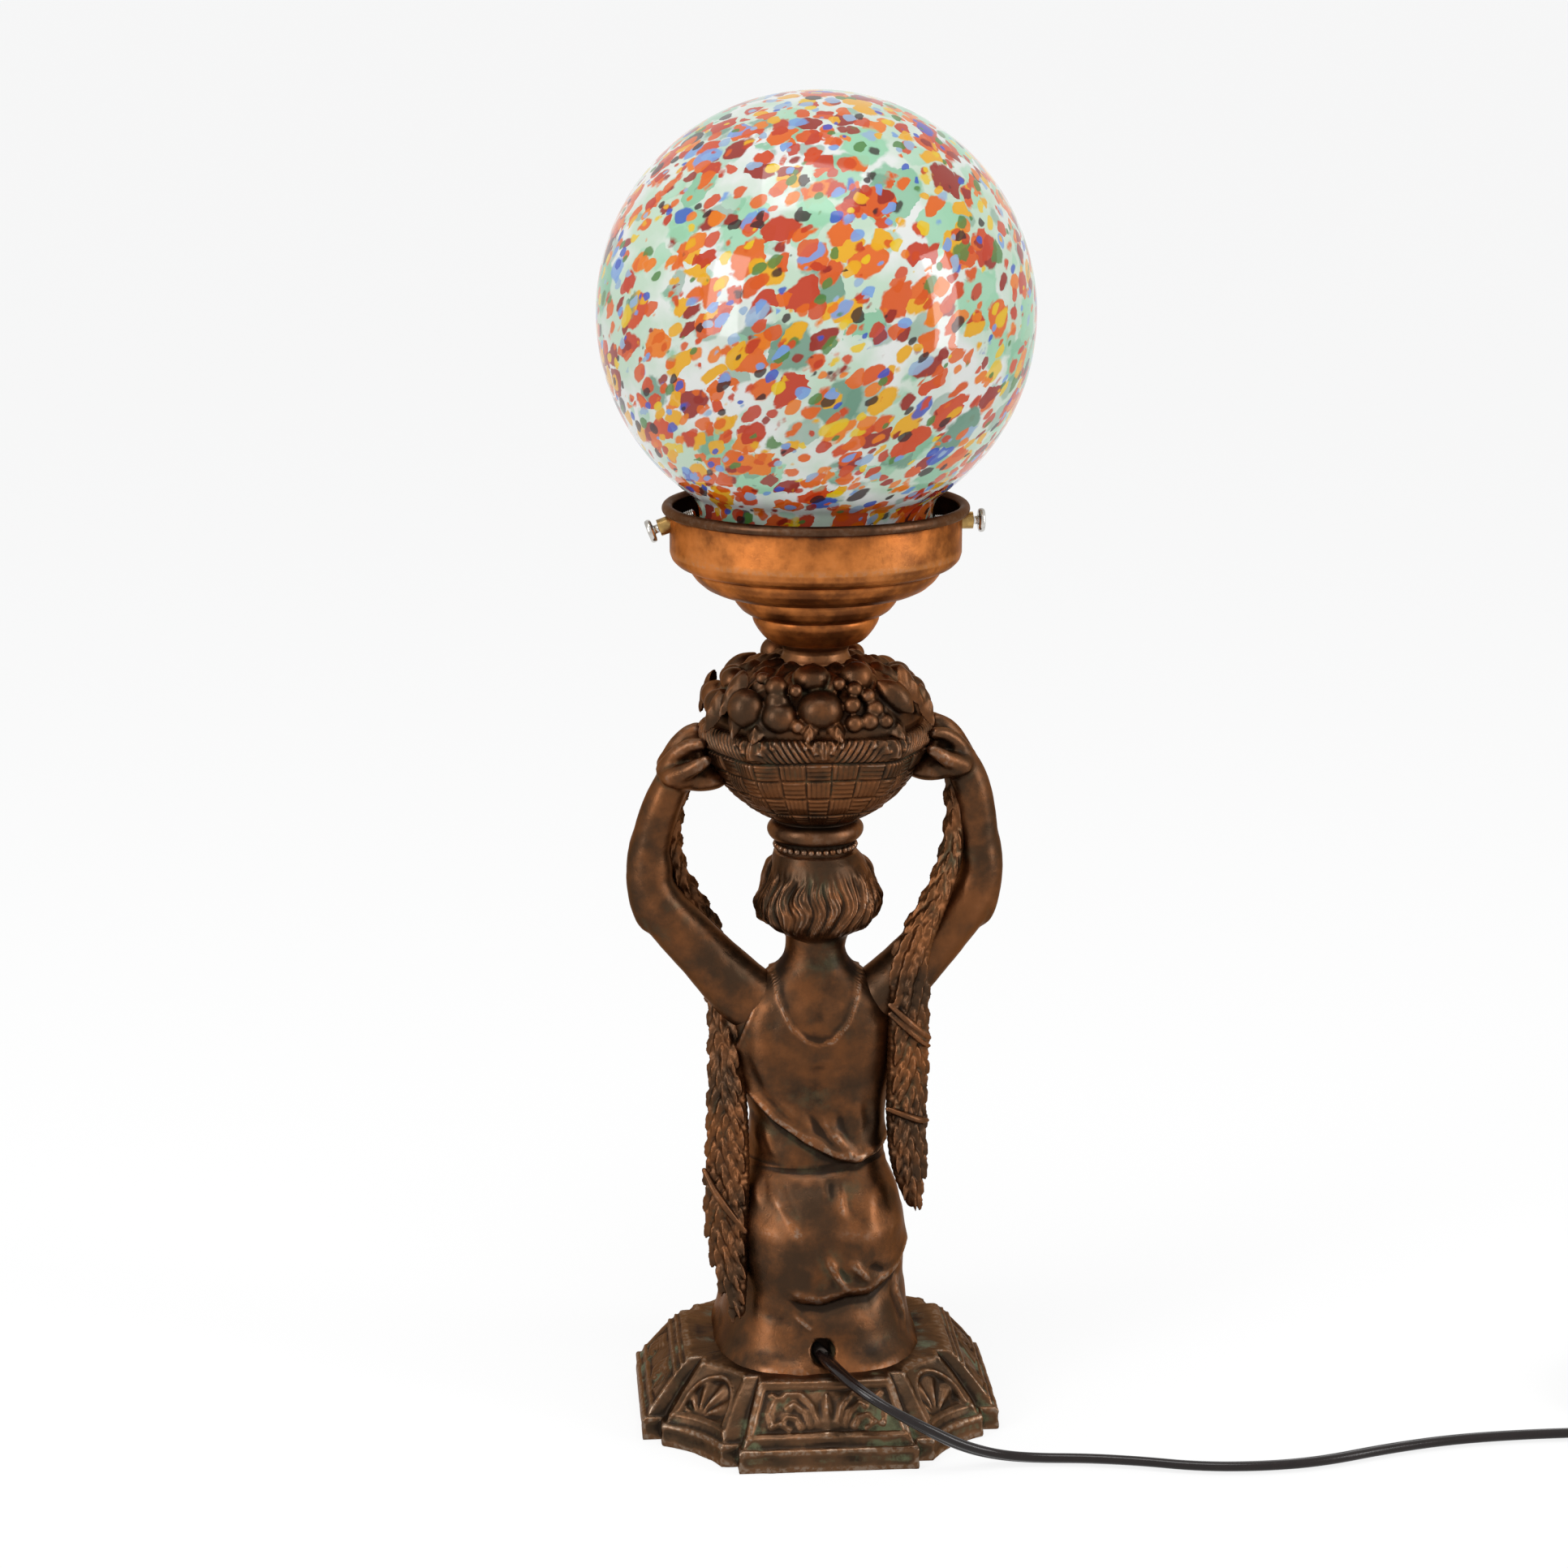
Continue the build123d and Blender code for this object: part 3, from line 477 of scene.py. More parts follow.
mesh = bmesh.new()
rings = loft(mesh, [[Vector(p) * 0.001 for p in row] for row in rows])
mesh.normal_update()
kinds, across = base_column_kinds()
for ring, share in zip(rings, slope_shares):
    if share is None:
        continue
    up = share * 22.4
    half = np.where(kinds == "corner", 14.3, 32.0) * (1 - 0.267 * share)
    a, b = across * half, np.full(across.shape, up)
    lift = np.zeros(across.shape)
    # the leaf fans of the front and back: a framed field, a spike and two curling leaves
    field = smooth(0, 1.2, half - 2.4 - np.abs(a)) * smooth(2.6, 3.6, b) * smooth(0, 1.2, 19.6 - b)
    fan = -1.5 * field
    fan += ridge(a, b, [(0, 3.0), (0, 17.0)], 3.9 * np.clip(1 - (b - 3) / 15.5, 0.06, 1), 1.9, 0.0) * (b < 17.5)
    for side in (1, -1):
        s = a * side
        fan += ridge(s, b, [(3.0, 3.5), (5.4, 12), (9.5, 17), (14.5, 17.2), (18.0, 13.4)], 1.5, 1.5)
        fan += ridge(s, b, [(6.0, 3.5), (8.2, 10), (12, 13.2), (16, 11.0)], 1.35, 1.35)
        fan += ridge(s, b, [(9.0, 3.5), (11.5, 8), (15.0, 8.6), (19.0, 5.4)], 1.3, 1.3)
        fan += ridge(s, b, [(20.5, 4), (21.5, 10), (18.6, 15.5), (21.0, 18.5)], 1.4, 1.3)
        fan += ridge(s, b, [(13.5, 3.5), (17.5, 6), (22.4, 5.2)], 1.1, 1.1)
    lift = np.where(kinds == "end", fan, lift)
    # the shells of the corners: an arch over a fan of ribs
    arch_half, arch_top = half * 0.76, 17.8
    reach = np.hypot(a / arch_half * 9.5, np.maximum(b - 8.0, 0))
    inside = smooth(0, 1.0, 9.5 - reach) * smooth(2.4, 3.2, b)
    angle = np.arctan2(b - 2.0, a + 3.5)
    out = np.hypot(a + 3.5, b - 2.0)
    shell = -1.1 * inside + inside * 0.95 * np.cos(angle * 11) * smooth(2.5, 5.5, out) * smooth(0, 3, 16.5 - out)
    shell += 1.1 * np.exp(-((reach - 10.2) / 0.9) ** 2) * smooth(1.8, 3, b)
    shell += 0.4 * np.exp(-((half - 1.0 - np.abs(a)) / 0.9) ** 2)
    lift = np.where(kinds == "corner", shell, lift)
    # the sides: two leaves on the outer slope and two mouldings beside the plateau
    leaf = ridge(a, b, [(-40, 15.2), (40, 15.2)], 0.75, 1.0, 0) + ridge(a, b, [(-40, 18.6), (40, 18.6)], 0.75, 1.0, 0)
    leaf -= 0.9 * smooth(1.6, 2.6, b) * smooth(0, 1.0, 13.6 - b) * smooth(0, 1.2, half - 1.6 - np.abs(a))
    for start, lean in ((-26, 1), (-2, 1), (24, -1)):
        for n, (rise, far) in enumerate(((11.4, 17), (9.6, 14.5), (7.8, 12), (6.0, 9.5), (4.2, 7))):
            path = [(start + lean * 1.5 * n, 2.2), (start + lean * (2.5 + 1.4 * n), rise * 0.7),
                    (start + lean * (6 + n), rise), (start + lean * far, rise * 0.86)]
            leaf += ridge(a, b, path, 0.95, 1.15, 0.1) * (1.0 if start != 24 else 0.9)
    lift = np.where(kinds == "side", leaf, lift)
    # a flat band along the foot and the top edge of every panel
    lift += np.where(kinds != "notch", 0.7, 0) * np.exp(-((b - 1.1) / 0.7) ** 2)
    lift += np.where(kinds != "notch", 0.6, 0) * np.exp(-((b - 21.4) / 0.8) ** 2)
    lift += np.where(kinds == "end", 0.5, 0) * np.exp(-((half - 1.3 - np.abs(a)) / 1.0) ** 2)
    for v, push in zip(ring, lift):
        v.co += v.normal * float(push) * 0.00074
for v in mesh.verts:
    p = v.co * 1000
    if p.z > 0.2 and max(abs(p.x), abs(p.y)) > 30:
        v.co += v.normal * 0.00032 * air_noise(p * 0.13)
        v.co += v.normal * 0.00010 * air_noise(p * 0.6)
for v in mesh.verts:
    v.co.x = min(max(v.co.x, -base_half / 1000), base_half / 1000)
    v.co.y = min(max(v.co.y, -base_half / 1000), base_half / 1000)
    v.co.z = max(v.co.z, 0.0)


def colour_group():
    """Bronzing over cast metal: brown lacquer, copper rubbed bare on what stands proud,
    painted grey highlights on its sharpest edges, painted shade darkening its hollows, and verdigris lying in them."""
    made = bpy.data.node_groups.new("bronzing", "ShaderNodeTree")
    for name, kind in (("Dark", "NodeSocketColor"), ("Warm", "NodeSocketColor"),
                       ("Rubbed", "NodeSocketColor"), ("Painted Glint", "NodeSocketFloat"),
                       ("Rub", "NodeSocketFloat"), ("Verdigris", "NodeSocketFloat")):
        made.interface.new_socket(name, in_out="INPUT", socket_type=kind)
    for name, kind in (("Color", "NodeSocketColor"), ("Roughness", "NodeSocketFloat"),
                       ("Metallic", "NodeSocketFloat"), ("Height", "NodeSocketFloat")):
        made.interface.new_socket(name, in_out="OUTPUT", socket_type=kind)
    given, out = made.nodes.new("NodeGroupInput"), made.nodes.new("NodeGroupOutput")
    place = node(made, "ShaderNodeTexCoord").outputs["Object"]
    proud = node(made, "ShaderNodeAttribute", attribute_name="proud").outputs["Fac"]

    def cloud(scale, detail, rough=0.55):
        return node(made, "ShaderNodeTexNoise", {"Vector": place, "Scale": scale, "Detail": detail,
                                                 "Roughness": rough}).outputs[0]

    def span(value, low, high, start=0.0, end=1.0):
        return node(made, "ShaderNodeMapRange", {0: value, 1: low, 2: high, 3: start, 4: end},
                    interpolation_type="SMOOTHSTEP").outputs[0]

    def times(a, b, operation="MULTIPLY"):
        return node(made, "ShaderNodeMath", {0: a, 1: b}, operation=operation).outputs[0]

    def blend(share, a, b):
        return node(made, "ShaderNodeMix", {0: share, 6: a, 7: b}, data_type="RGBA").outputs[2]

    broad, patch, speck = cloud(24.0, 5.0), cloud(85.0, 6.0, 0.62), cloud(520.0, 3.0)
    shifted = times(proud, times(times(patch, 0.5, "SUBTRACT"), 0.55), "ADD")
    warm = span(times(times(broad, 0.6), times(patch, 0.4), "ADD"), 0.40, 0.62)
    colour = blend(warm, given.outputs["Dark"], given.outputs["Warm"])
    rubbed = times(span(shifted, 0.03, 0.32), given.outputs["Rub"])
    colour = blend(rubbed, colour, given.outputs["Rubbed"])
    # painted highlight: the sharpest proud edges are mixed towards a pale grey, and made a little smoother
    painted_glint = times(times(span(shifted, 0.16, 0.42), span(speck, 0.42, 0.62)), given.outputs["Painted Glint"])
    colour = blend(painted_glint, colour, (0.30, 0.245, 0.19, 1))
    # painted shade: the hollows are darkened towards near-black, and made rougher
    hollow = span(shifted, -0.02, -0.30)
    colour = blend(times(hollow, 0.80), colour, (0.012, 0.0085, 0.006, 1))
    green = times(times(span(cloud(46.0, 6.0, 0.7), 0.50, 0.66), span(shifted, 0.06, -0.16)),
                  given.outputs["Verdigris"])
    colour = blend(green, colour, (0.085, 0.098, 0.050, 1))
    made.links.new(colour, out.inputs["Color"])
    rough = times(span(patch, 0.3, 0.75, 0.34, 0.50), times(hollow, 0.22), "ADD")
    rough = times(rough, times(green, 0.25), "ADD")
    made.links.new(times(rough, times(painted_glint, 0.10), "SUBTRACT"), out.inputs["Roughness"])
    made.links.new(times(0.94, times(green, 0.8), "SUBTRACT"), out.inputs["Metallic"])
    pits = times(span(speck, 0.25, 0.5), 0.5)
    made.links.new(times(times(patch, 0.9), pits, "ADD"), out.inputs["Height"])
    return made


bronzing = colour_group()


def bronzed(name, dark, warm, rubbed, painted_glint, rub, verdigris, depth=0.00022):
    """A bronzed finish with its own tones, its own share of wear and verdigris, and its own strength of painted
    highlight.
    """
    made, tree, skin = new_material(name)
    finish = tree.nodes.new("ShaderNodeGroup")
    finish.node_tree = bronzing
    for key, value in (("Dark", (*dark, 1)), ("Warm", (*warm, 1)), ("Rubbed", (*rubbed, 1)),
                       ("Painted Glint", painted_glint), ("Rub", rub), ("Verdigris", verdigris)):
        finish.inputs[key].default_value = value
    for key, target in (("Color", "Base Color"), ("Roughness", "Roughness"), ("Metallic", "Metallic")):
        tree.links.new(finish.outputs[key], skin.inputs[target])
    bump = node(tree, "ShaderNodeBump", {"Height": finish.outputs["Height"], "Strength": 0.35,
                                         "Distance": depth})
    tree.links.new(bump.outputs[0], skin.inputs["Normal"])
    skin.inputs["Specular Tint"].default_value = (0.62, 0.46, 0.37, 1)
    skin.inputs["Coat Weight"].default_value = 0.04
    skin.inputs["Coat Roughness"].default_value = 0.28
    return made


base_bronze = bronzed("base_bronze", (0.042, 0.026, 0.015), (0.090, 0.044, 0.021),
                      (0.165, 0.078, 0.036), 0.36, 0.45, 0.85)
base_piece = link_piece("cast_base", mesh, base_bronze)
mark_hollows(base_piece, 9)
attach(base_piece, "lamp")
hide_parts("base_casting")

# ---------------------------------------------------------------------------------------
# Figure: a hollow bronzed casting of a kneeling woman who sits on her heels, seen from the
# back in the picture. Her blouse falls in slanting folds to the waist, the skirt is gathered
# below it, and the flex leaves by a plain hole near the base. It is soldered to the base.
figure_levels = np.array([
    (26.5, 38.0, 43.6, 45.6, 2.7), (30, 36.4, 40.0, 45.0, 2.7), (34, 35.0, 36.8, 44.4, 2.6),
    (38, 34.2, 35.2, 44.4, 2.5), (41, 33.6, 34.6, 44.4, 2.5),
    (53, 32.4, 32.8, 42.5, 2.4), (65, 32.6, 34.0, 38.0, 2.3), (77, 31.6, 33.0, 28.5, 2.2),
    (88, 28.6, 27.0, 20.5, 2.2), (95, 25.6, 21.6, 16.5, 2.2), (98, 24.8, 20.2, 15.4, 2.2),
    (103, 24.6, 20.2, 14.8, 2.3), (113, 23.6, 18.6, 14.6, 2.4), (127, 26.8, 17.6, 16.4, 2.5),
    (140, 29.6, 18.0, 17.6, 2.5), (150, 30.4, 17.2, 16.6, 2.5), (157, 28.0, 15.6, 14.6, 2.4),
    (162, 23.0, 13.6, 12.8, 2.2), (167, 16.0, 11.9, 11.6, 2.1), (171, 11.6, 10.9, 10.8, 2.0),
    (175, 10.6, 10.6, 10.6, 2.0), (182, 10.6, 10.6, 10.6, 2.0)])
heights = np.arange(26.6, 181.6, 0.8)
columns = 320


def soft_levels(levels, heights, spread):
    """The levels' values at every height, eased into one another."""
    fine = np.arange(levels[0][0] - 4 * spread, levels[-1][0] + 4 * spread, 0.25)
    weights = np.exp(-0.5 * (np.arange(-3 * spread, 3 * spread + 0.1, 0.25) / spread) ** 2)
    weights /= weights.sum()
    return [np.interp(heights, fine, np.convolve(np.pad(np.interp(fine, levels[:, 0], levels[:, k]),
                                                        len(weights) // 2, mode="edge"),
                                                 weights, mode="valid")[:len(fine)])
            for k in range(1, levels.shape[1])]


def oval_skin(levels, heights, columns, spread=1.6):
    """Points of an oval, squared-off form: x, y and z for every height and column."""
    half, back, front, square = [v[:, None] for v in soft_levels(levels, heights, spread)]
    turn = np.linspace(0, 2 * np.pi, columns, endpoint=False)[None, :]
    c, s = np.cos(turn), np.sin(turn)
    x = half * np.sign(s) * np.abs(s) ** (2 / square)
    y = (back - front) / 2 + (back + front) / 2 * np.sign(c) * np.abs(c) ** (2 / square)
    return x, y, heights[:, None] + np.zeros_like(x), np.sign(s) * np.abs(s), c


def figure_back(x, z):
    """The blouse, waist and skirt as they show on the figure's back."""
    neckline = np.interp(x, [-15.1, -13, -9.8, -5, -0.2, 4.5, 9.5, 13.5, 15.4],
                         [168, 160, 151, 145, 143.3, 145, 150.5, 160, 170])
    bare = smooth(-0.5, 0.5, z - neckline) * smooth(0, 0.8, 15.6 - np.abs(x))
    lift = 0.9 * (1 - bare) * smooth(96, 100, z)
    lift += ridge(x, z, [(15.4, 170), (13.5, 160), (9.5, 150.5), (4.5, 145), (-0.2, 143.3), (-5, 145),
                         (-9.8, 151), (-13, 160), (-15.1, 168)], 0.8, 0.55, 0)
    lift += ridge(x, z, [(0, 176), (0, 140)], 3.8, -0.45, 0.5) + mound(x, z, (8.5, 155), (5, 9), 0.7)
    lift += mound(x, z, (-8.5, 155), (5, 9), 0.7) + mound(x, z, (15, 146), (8, 12), 0.9)
    lift += mound(x, z, (-16, 146), (8, 12), 0.9) + ridge(x, z, [(0, 138), (0, 108)], 5.0, -0.9)
    armhole = [(18.4, 165), (21.5, 157), (24, 151), (27.5, 141), (30.6, 131)]
    lift += ridge(x, z, armhole, 1.1, 0.6, 0.2)
    lift -= 1.0 * smooth(0.2, 1.4, x - np.interp(z, [131, 141, 151, 157, 165], [30.6, 27.5, 24, 21.5, 18.4])) \
        * smooth(129, 132, z)
    hem = [(33, 134), (30.6, 131), (23.9, 124.1), (15.1, 115.4), (4.7, 107.6), (-5.6, 101.9),
           (-12.9, 99.3), (-20.1, 102.4), (-26, 106)]
    over = z - np.interp(x, [p[0] for p in hem[::-1]], [p[1] for p in hem[::-1]])
    lift += 1.9 * smooth(-0.5, 0.9, over) * np.exp(-(np.maximum(over, 0) / 11) ** 2)
    lift += ridge(x, z, hem, 0.9, 0.7) - 1.2 * smooth(0, 1.5, -over) * smooth(97.5, 99, z)
    for path, width, height in (
            ([(27, 130), (20.3, 122), (11.9, 114.5), (0.6, 107.0), (-8.7, 101.2)], 1.5, 1.0),
            ([(21.3, 162), (21.8, 145.4), (20.3, 136.4), (11.9, 121.9), (0.6, 110.7), (-8.7, 103)], 2.3, 1.3),
            ([(24.5, 150), (25.0, 138), (19.5, 125), (9, 114.5), (-3, 105.8)], 1.5, -0.9),
            ([(1.6, 124), (-3.4, 111.9), (-9.8, 104.1), (-13.3, 101.3)], 1.7, 1.4),
            ([(6, 121), (1.0, 112.5), (-6.0, 105.4), (-11, 101.8)], 1.3, -1.1),
            ([(-6.5, 122), (-8.4, 112), (-12.6, 104.2)], 1.5, -1.2),
            ([(-12, 128), (-13.4, 114), (-14.8, 104.6)], 2.0, 1.0),
            ([(-21.1, 132), (-20.1, 113), (-15.9, 103)], 2.4, 1.2),
            ([(-17.0, 124), (-17.2, 113), (-14.6, 105)], 1.4, -0.9),
            ([(14, 160), (16.4, 148), (16, 136)], 2.0, -0.5),
            ([(-24.5, 128), (-23.4, 112), (-20.6, 104.6)], 1.4, -0.7),
            ([(24.6, 116), (22.4, 107.6), (19.2, 101.3)], 1.2, 0.9),
            ([(20.6, 113), (17.0, 104), (13, 99.6)], 1.2, 0.7),
            ([(27, 97.6), (12, 96.8), (1, 96.9), (-12, 98), (-24, 99.6)], 0.95, -2.0),
            ([(26, 94.6), (12, 94.0), (1, 94.2), (-12, 95), (-24, 96)], 1.3, 0.7),
            ([(17.4, 96.2), (14.8, 87), (8.9, 78.5), (6.2, 70)], 1.5, 1.5),
            ([(14.4, 96), (11.2, 86), (5.6, 77)], 1.4, -0.9),
            ([(21.5, 95.4), (22.6, 84)], 1.1, 1.0), ([(19.4, 95.4), (19.8, 84)], 1.0, -0.7),
            ([(-6.1, 95.6), (-7, 86.5), (-8.4, 80)], 1.2, 1.5), ([(-0.9, 95.6), (-1.7, 87)], 1.2, 1.0),
            ([(-3.6, 95.6), (-4.4, 85)], 1.1, -0.9), ([(4.6, 95.6), (3.8, 86)], 1.2, 0.7),
            ([(-9.4, 95), (-10.6, 85), (-13.4, 74)], 1.7, -1.5),
            ([(-16.4, 98), (-17.4, 88), (-15.8, 76)], 2.6, 1.1),
            ([(4, 82), (-2, 72), (-8, 63)], 3.4, -0.9), ([(0, 72), (-5.5, 62), (-9.6, 54.6)], 1.5, 1.7),
            ([(-8.8, 70), (-13, 63), (-19, 56)], 1.6, 1.8), ([(-4.4, 66), (-10, 57.6)], 1.2, -1.5),
            ([(-16, 66), (-23.5, 59.5)], 1.5, -1.4), ([(25, 47.2), (17, 45.4), (8.5, 42)], 2.6, -0.8),
            ([(10.4, 47.4), (5.6, 43.4), (2.1, 40.6)], 0.8, 0.9), ([(30, 66), (26, 52), (27, 40)], 2.2, -0.9),
            ([(-28.5, 61), (-28.4, 50), (-31, 40), (-32, 30)], 0.6, 1.2),
            ([(-26.8, 61), (-26.6, 50), (-29.2, 40), (-30, 30)], 0.9, -0.9)):
        low = 1.3 if path[0][1] > 97 else 1.6 if path[0][1] > 75 else 1.15
        lift += ridge(x, z, path, width * low, height / low, 0.42)
    for middle, reach, height in (((-10.3, 102.6), (1.5, 1.3), 1.1), ((-13.6, 100.9), (1.6, 1.3), 1.2),
                                  ((-17.6, 103.2), (2.0, 1.4), 1.1), ((-20, 76), (11, 17), 3.0),
                                  ((13, 70), (15, 18), 1.8), ((21, 36.5), (9, 6.5), 2.2),
                                  ((8.5, 33), (6, 5.5), 1.3), ((-14, 41), (14, 7.5), 1.7),
                                  ((16, 29.5), (13, 2.6), 1.2), ((-20, 29.5), (10, 2.4), 0.9),
                                  ((0, 118), (14, 9), -0.6)):
        lift += mound(x, z, middle, reach, height)
    shelf = [(12, 53.2), (7.5, 51.5), (0.4, 50.8), (-8.9, 53.2), (-17, 53.2), (-27.3, 58.5), (-31, 64)]
    over = z - np.interp(x, [p[0] for p in shelf[::-1]], [p[1] for p in shelf[::-1]])
    near = smooth(0, 7, 13 - x)
    lift += near * 1.8 * smooth(-0.4, 3.0, over) * np.exp(-(np.maximum(over, 0) / 6) ** 2)
    lift -= near * 2.6 * smooth(0, 1.1, -over) * np.exp(-(np.minimum(over, 0) / 4.2) ** 2)
    return 0.82 * lift


def figure_front(x, z):
    """The front, which the picture doesn't show: a plain dress, two knees and hanging folds."""
    side = np.abs(x)
    lift = mound(side, z, (10.2, 140), (8.6, 8.6), 3.9) + mound(side, z, (0, 118), (14, 12), 1.0)
    lift += ridge(side, z, [(15, 168), (9.5, 156), (0, 149.5)], 0.8, 0.9, 0)
    lift += 0.7 * smooth(-0.4, 0.6, np.interp(side, [0, 9.5, 15], [149.5, 156, 168]) - z)
    lift += ridge(side, z, [(0, 98.4), (26, 99.4)], 1.9, 1.3, 0) + ridge(side, z, [(0, 96), (26, 97)], 0.7, -1.3, 0)
    lift += mound(x, z, (0, 98.5), (3.6, 3.2), 1.5)
    lift += mound(side, z, (16.5, 46), (12, 17), 5.2) + ridge(side, z, [(0, 84), (0, 27)], 6.5, -2.2, 0.35)
    for k in range(5):
        low = 88 - 9.5 * k
        lift += ridge(side, z, [(27 - k, low + 4), (18 - k, low - 5), (8, low - 12), (1.5, low - 15)], 2.5, 0.85, 0.35)
    for k in range(4):
        lift += ridge(side, z, [(5 + 5.5 * k, 58 - 3 * k), (6.5 + 6 * k, 42), (5.5 + 6.6 * k, 28)], 2.2, 0.75, 0.35)
        lift += ridge(side, z, [(4 + 4 * k, 136 - 2 * k), (3 + 4.2 * k, 120), (2 + 4 * k, 102)], 1.5, 0.42, 0.35)
    return lift


x, y, z, across, facing = oval_skin(figure_levels, heights, columns)
back_share = smooth(-0.05, 0.28, facing)
front_share = smooth(0.05, 0.35, -facing)
lift = figure_back(x, z) * back_share + figure_front(x, z) * front_share
rippled = uneven(np.stack([x.ravel(), y.ravel(), z.ravel()], 1), 0.11).reshape(x.shape)
lift += 0.35 * rippled * smooth(0, 3, 171 - z)
side_fold = np.sin(z * 0.42 + np.arctan2(x, y) * 3.0) * smooth(30, 44, z) * smooth(0, 12, 94 - z)
lift += 0.45 * side_fold * (1 - back_share) * (1 - front_share)
spin_x, spin_y = across, facing
length = np.hypot(spin_x, spin_y)
x, y = x + lift * spin_x / length, y + lift * spin_y / length
hole_height, hole_radius = 34.5, 4.5
from_hole = np.hypot(x, z - hole_height)
at_back = y > 0
snap = at_back & (np.abs(from_hole - hole_radius) < 0.5)
pull = np.where(snap, hole_radius / np.maximum(from_hole, 0.1), 1.0)
x, z = x * pull, hole_height + (z - hole_height) * pull
y = np.where(at_back & (from_hole < hole_radius - 0.05) & ~snap, y - 9.0, y)
y = np.where(at_back & (from_hole >= hole_radius), y + 0.12 * np.exp(-((from_hole - 5.3) / 0.6) ** 2), y)
mesh = bmesh.new()
loft(mesh, [[Vector((x[k, j], y[k, j], z[k, j])) * 0.001 for j in range(columns)] for k in range(len(heights))])
figure_bronze = bronzed("figure_bronze", (0.046, 0.025, 0.0135), (0.132, 0.049, 0.0170),
                        (0.26, 0.100, 0.038), 0.36, 0.34, 0.22)
figure = link_piece("cast_figure", mesh, figure_bronze)
mark_hollows(figure, 14)
proud = figure.data.attributes["proud"].data
# The hole's edge is kept from reading as proud, so it takes neither rubbed copper nor painted highlight.
for v in figure.data.vertices:  # the hole's edge isn't polished
    if v.co.y > 0 and math.hypot(v.co.x, v.co.z - hole_height / 1000) < 0.0085:
        proud[v.index].value = min(proud[v.index].value, 0.03)
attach(figure, "lamp")
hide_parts("figure_body")

# ---------------------------------------------------------------------------------------
# Head: cast with the figure, her hair gathered low and tucked in at the nape, in deep locks
# under a smooth crown that carries the basket. The face, which the picture doesn't show, is
# a plain calm one: eyes half way up, the nose's foot and the mouth below by thirds.
head_levels = np.array([
    (170, 9.6, 9.8, 10.2, 2.0), (175, 10.2, 10.4, 11.6, 2.0), (178, 11.0, 10.6, 16.0, 2.0),
    (180, 12.2, 11.6, 19.6, 2.0), (182, 15.4, 15.4, 20.8, 2.1), (184.5, 18.6, 18.8, 21.4, 2.15),
    (187.5, 20.5, 20.6, 21.8, 2.15), (191, 21.3, 21.2, 22.0, 2.15), (194, 20.9, 21.0, 22.0, 2.15),
    (197, 20.0, 20.4, 21.6, 2.1), (200, 18.8, 19.4, 21.0, 2.1), (204, 17.7, 18.0, 19.2, 2.1),
    (208, 16.4, 16.4, 16.8, 2.0), (211, 14.6, 14.6, 14.8, 2.0)])
heights = np.arange(170, 210.9, 0.42)
x, y, z, across, facing = oval_skin(head_levels, heights, 300, 0.8)
length = np.hypot(across, facing)
around = np.arctan2(across, facing) * 19.5
face_oval = np.hypot(x / 11.4, (z - 191.2) / 13.2)
face_share = smooth(1.06, 0.98, face_oval) * smooth(0.2, 0.35, -facing)
hair_share = (1 - face_share) * smooth(179.6, 182.6, z)

wave = around + 1.5 * np.sin((z - 187) * 0.30 + around * 0.13) + 1.1 * np.sin(around * 0.31) + 0.08 * (z - 190)
lock = np.abs(np.sin(math.pi * wave / 5.6)) ** 0.75
strand = np.sin(2 * math.pi * (wave + 0.5 * np.sin(z * 0.5)) / 1.45)
fall = smooth(205.5, 199.5, z) * smooth(181.0, 183.4, z)
hair = 1.35 * (lock - 0.62) * fall + 0.28 * strand * fall * lock
hair += 0.55 * np.sin(wave * 0.62 + z * 0.21) * fall + 0.10 * np.sin(around * 2.1) * smooth(208, 203, z)
swept = (face_oval - 1.0) * 11.5 + 0.8 * np.sin(z * 0.3)
frontal = 1.1 * np.sin(2 * math.pi * swept / 3.4) + 0.25 * np.sin(2 * math.pi * swept / 1.1)
hair = np.where(facing < 0.1, hair * smooth(-0.25, 0.1, facing)
                + frontal * smooth(0.1, -0.25, facing) * smooth(181, 184, z) * smooth(209, 206, z), hair)
hair += 1.5 * smooth(1.0, 1.10, face_oval) * (facing < 0) * smooth(208, 205, z) * smooth(180.5, 183.5, z)

side = np.abs(x)
face = mound(x, z, (0, 190), (9, 12), 0.8) + ridge(side, z, [(0, 197), (0, 190.4)], 1.5, 1.7, 0)
face += mound(x, z, (0, 190.0), (1.9, 1.7), 1.9) + mound(side, z, (1.9, 189.4), (0.9, 0.9), 0.8)
face += mound(side, z, (4.7, 194.3), (3.3, 2.2), -1.7) + mound(side, z, (4.8, 194.0), (2.1, 1.25), 1.3)
face += ridge(side, z, [(2.5, 193.7), (4.8, 195.3), (7.3, 193.8)], 0.45, 0.55)
face += ridge(side, z, [(2.6, 193.4), (4.8, 192.7), (7.1, 193.5)], 0.4, 0.35)
face += ridge(side, z, [(1.4, 196.9), (4.9, 198.3), (8.6, 196.3)], 1.2, 0.8)
face += mound(side, z, (6.6, 189.2), (3.0, 3.2), 0.9) + mound(x, z, (0, 185.4), (4.4, 2.8), 0.9)
face += ridge(x, z, [(-3.3, 185.7), (-1.1, 186.6), (0, 186.2), (1.1, 186.6), (3.3, 185.7)], 0.75, 0.8)
face += ridge(x, z, [(-2.6, 184.9), (0, 184.0), (2.6, 184.9)], 0.85, 0.9)
face += ridge(x, z, [(-3.6, 185.5), (0, 185.3), (3.6, 185.5)], 0.35, -0.8)
face += mound(x, z, (0, 187.9), (0.8, 1.2), -0.4) + mound(x, z, (0, 181.2), (3.4, 2.4), 1.5)
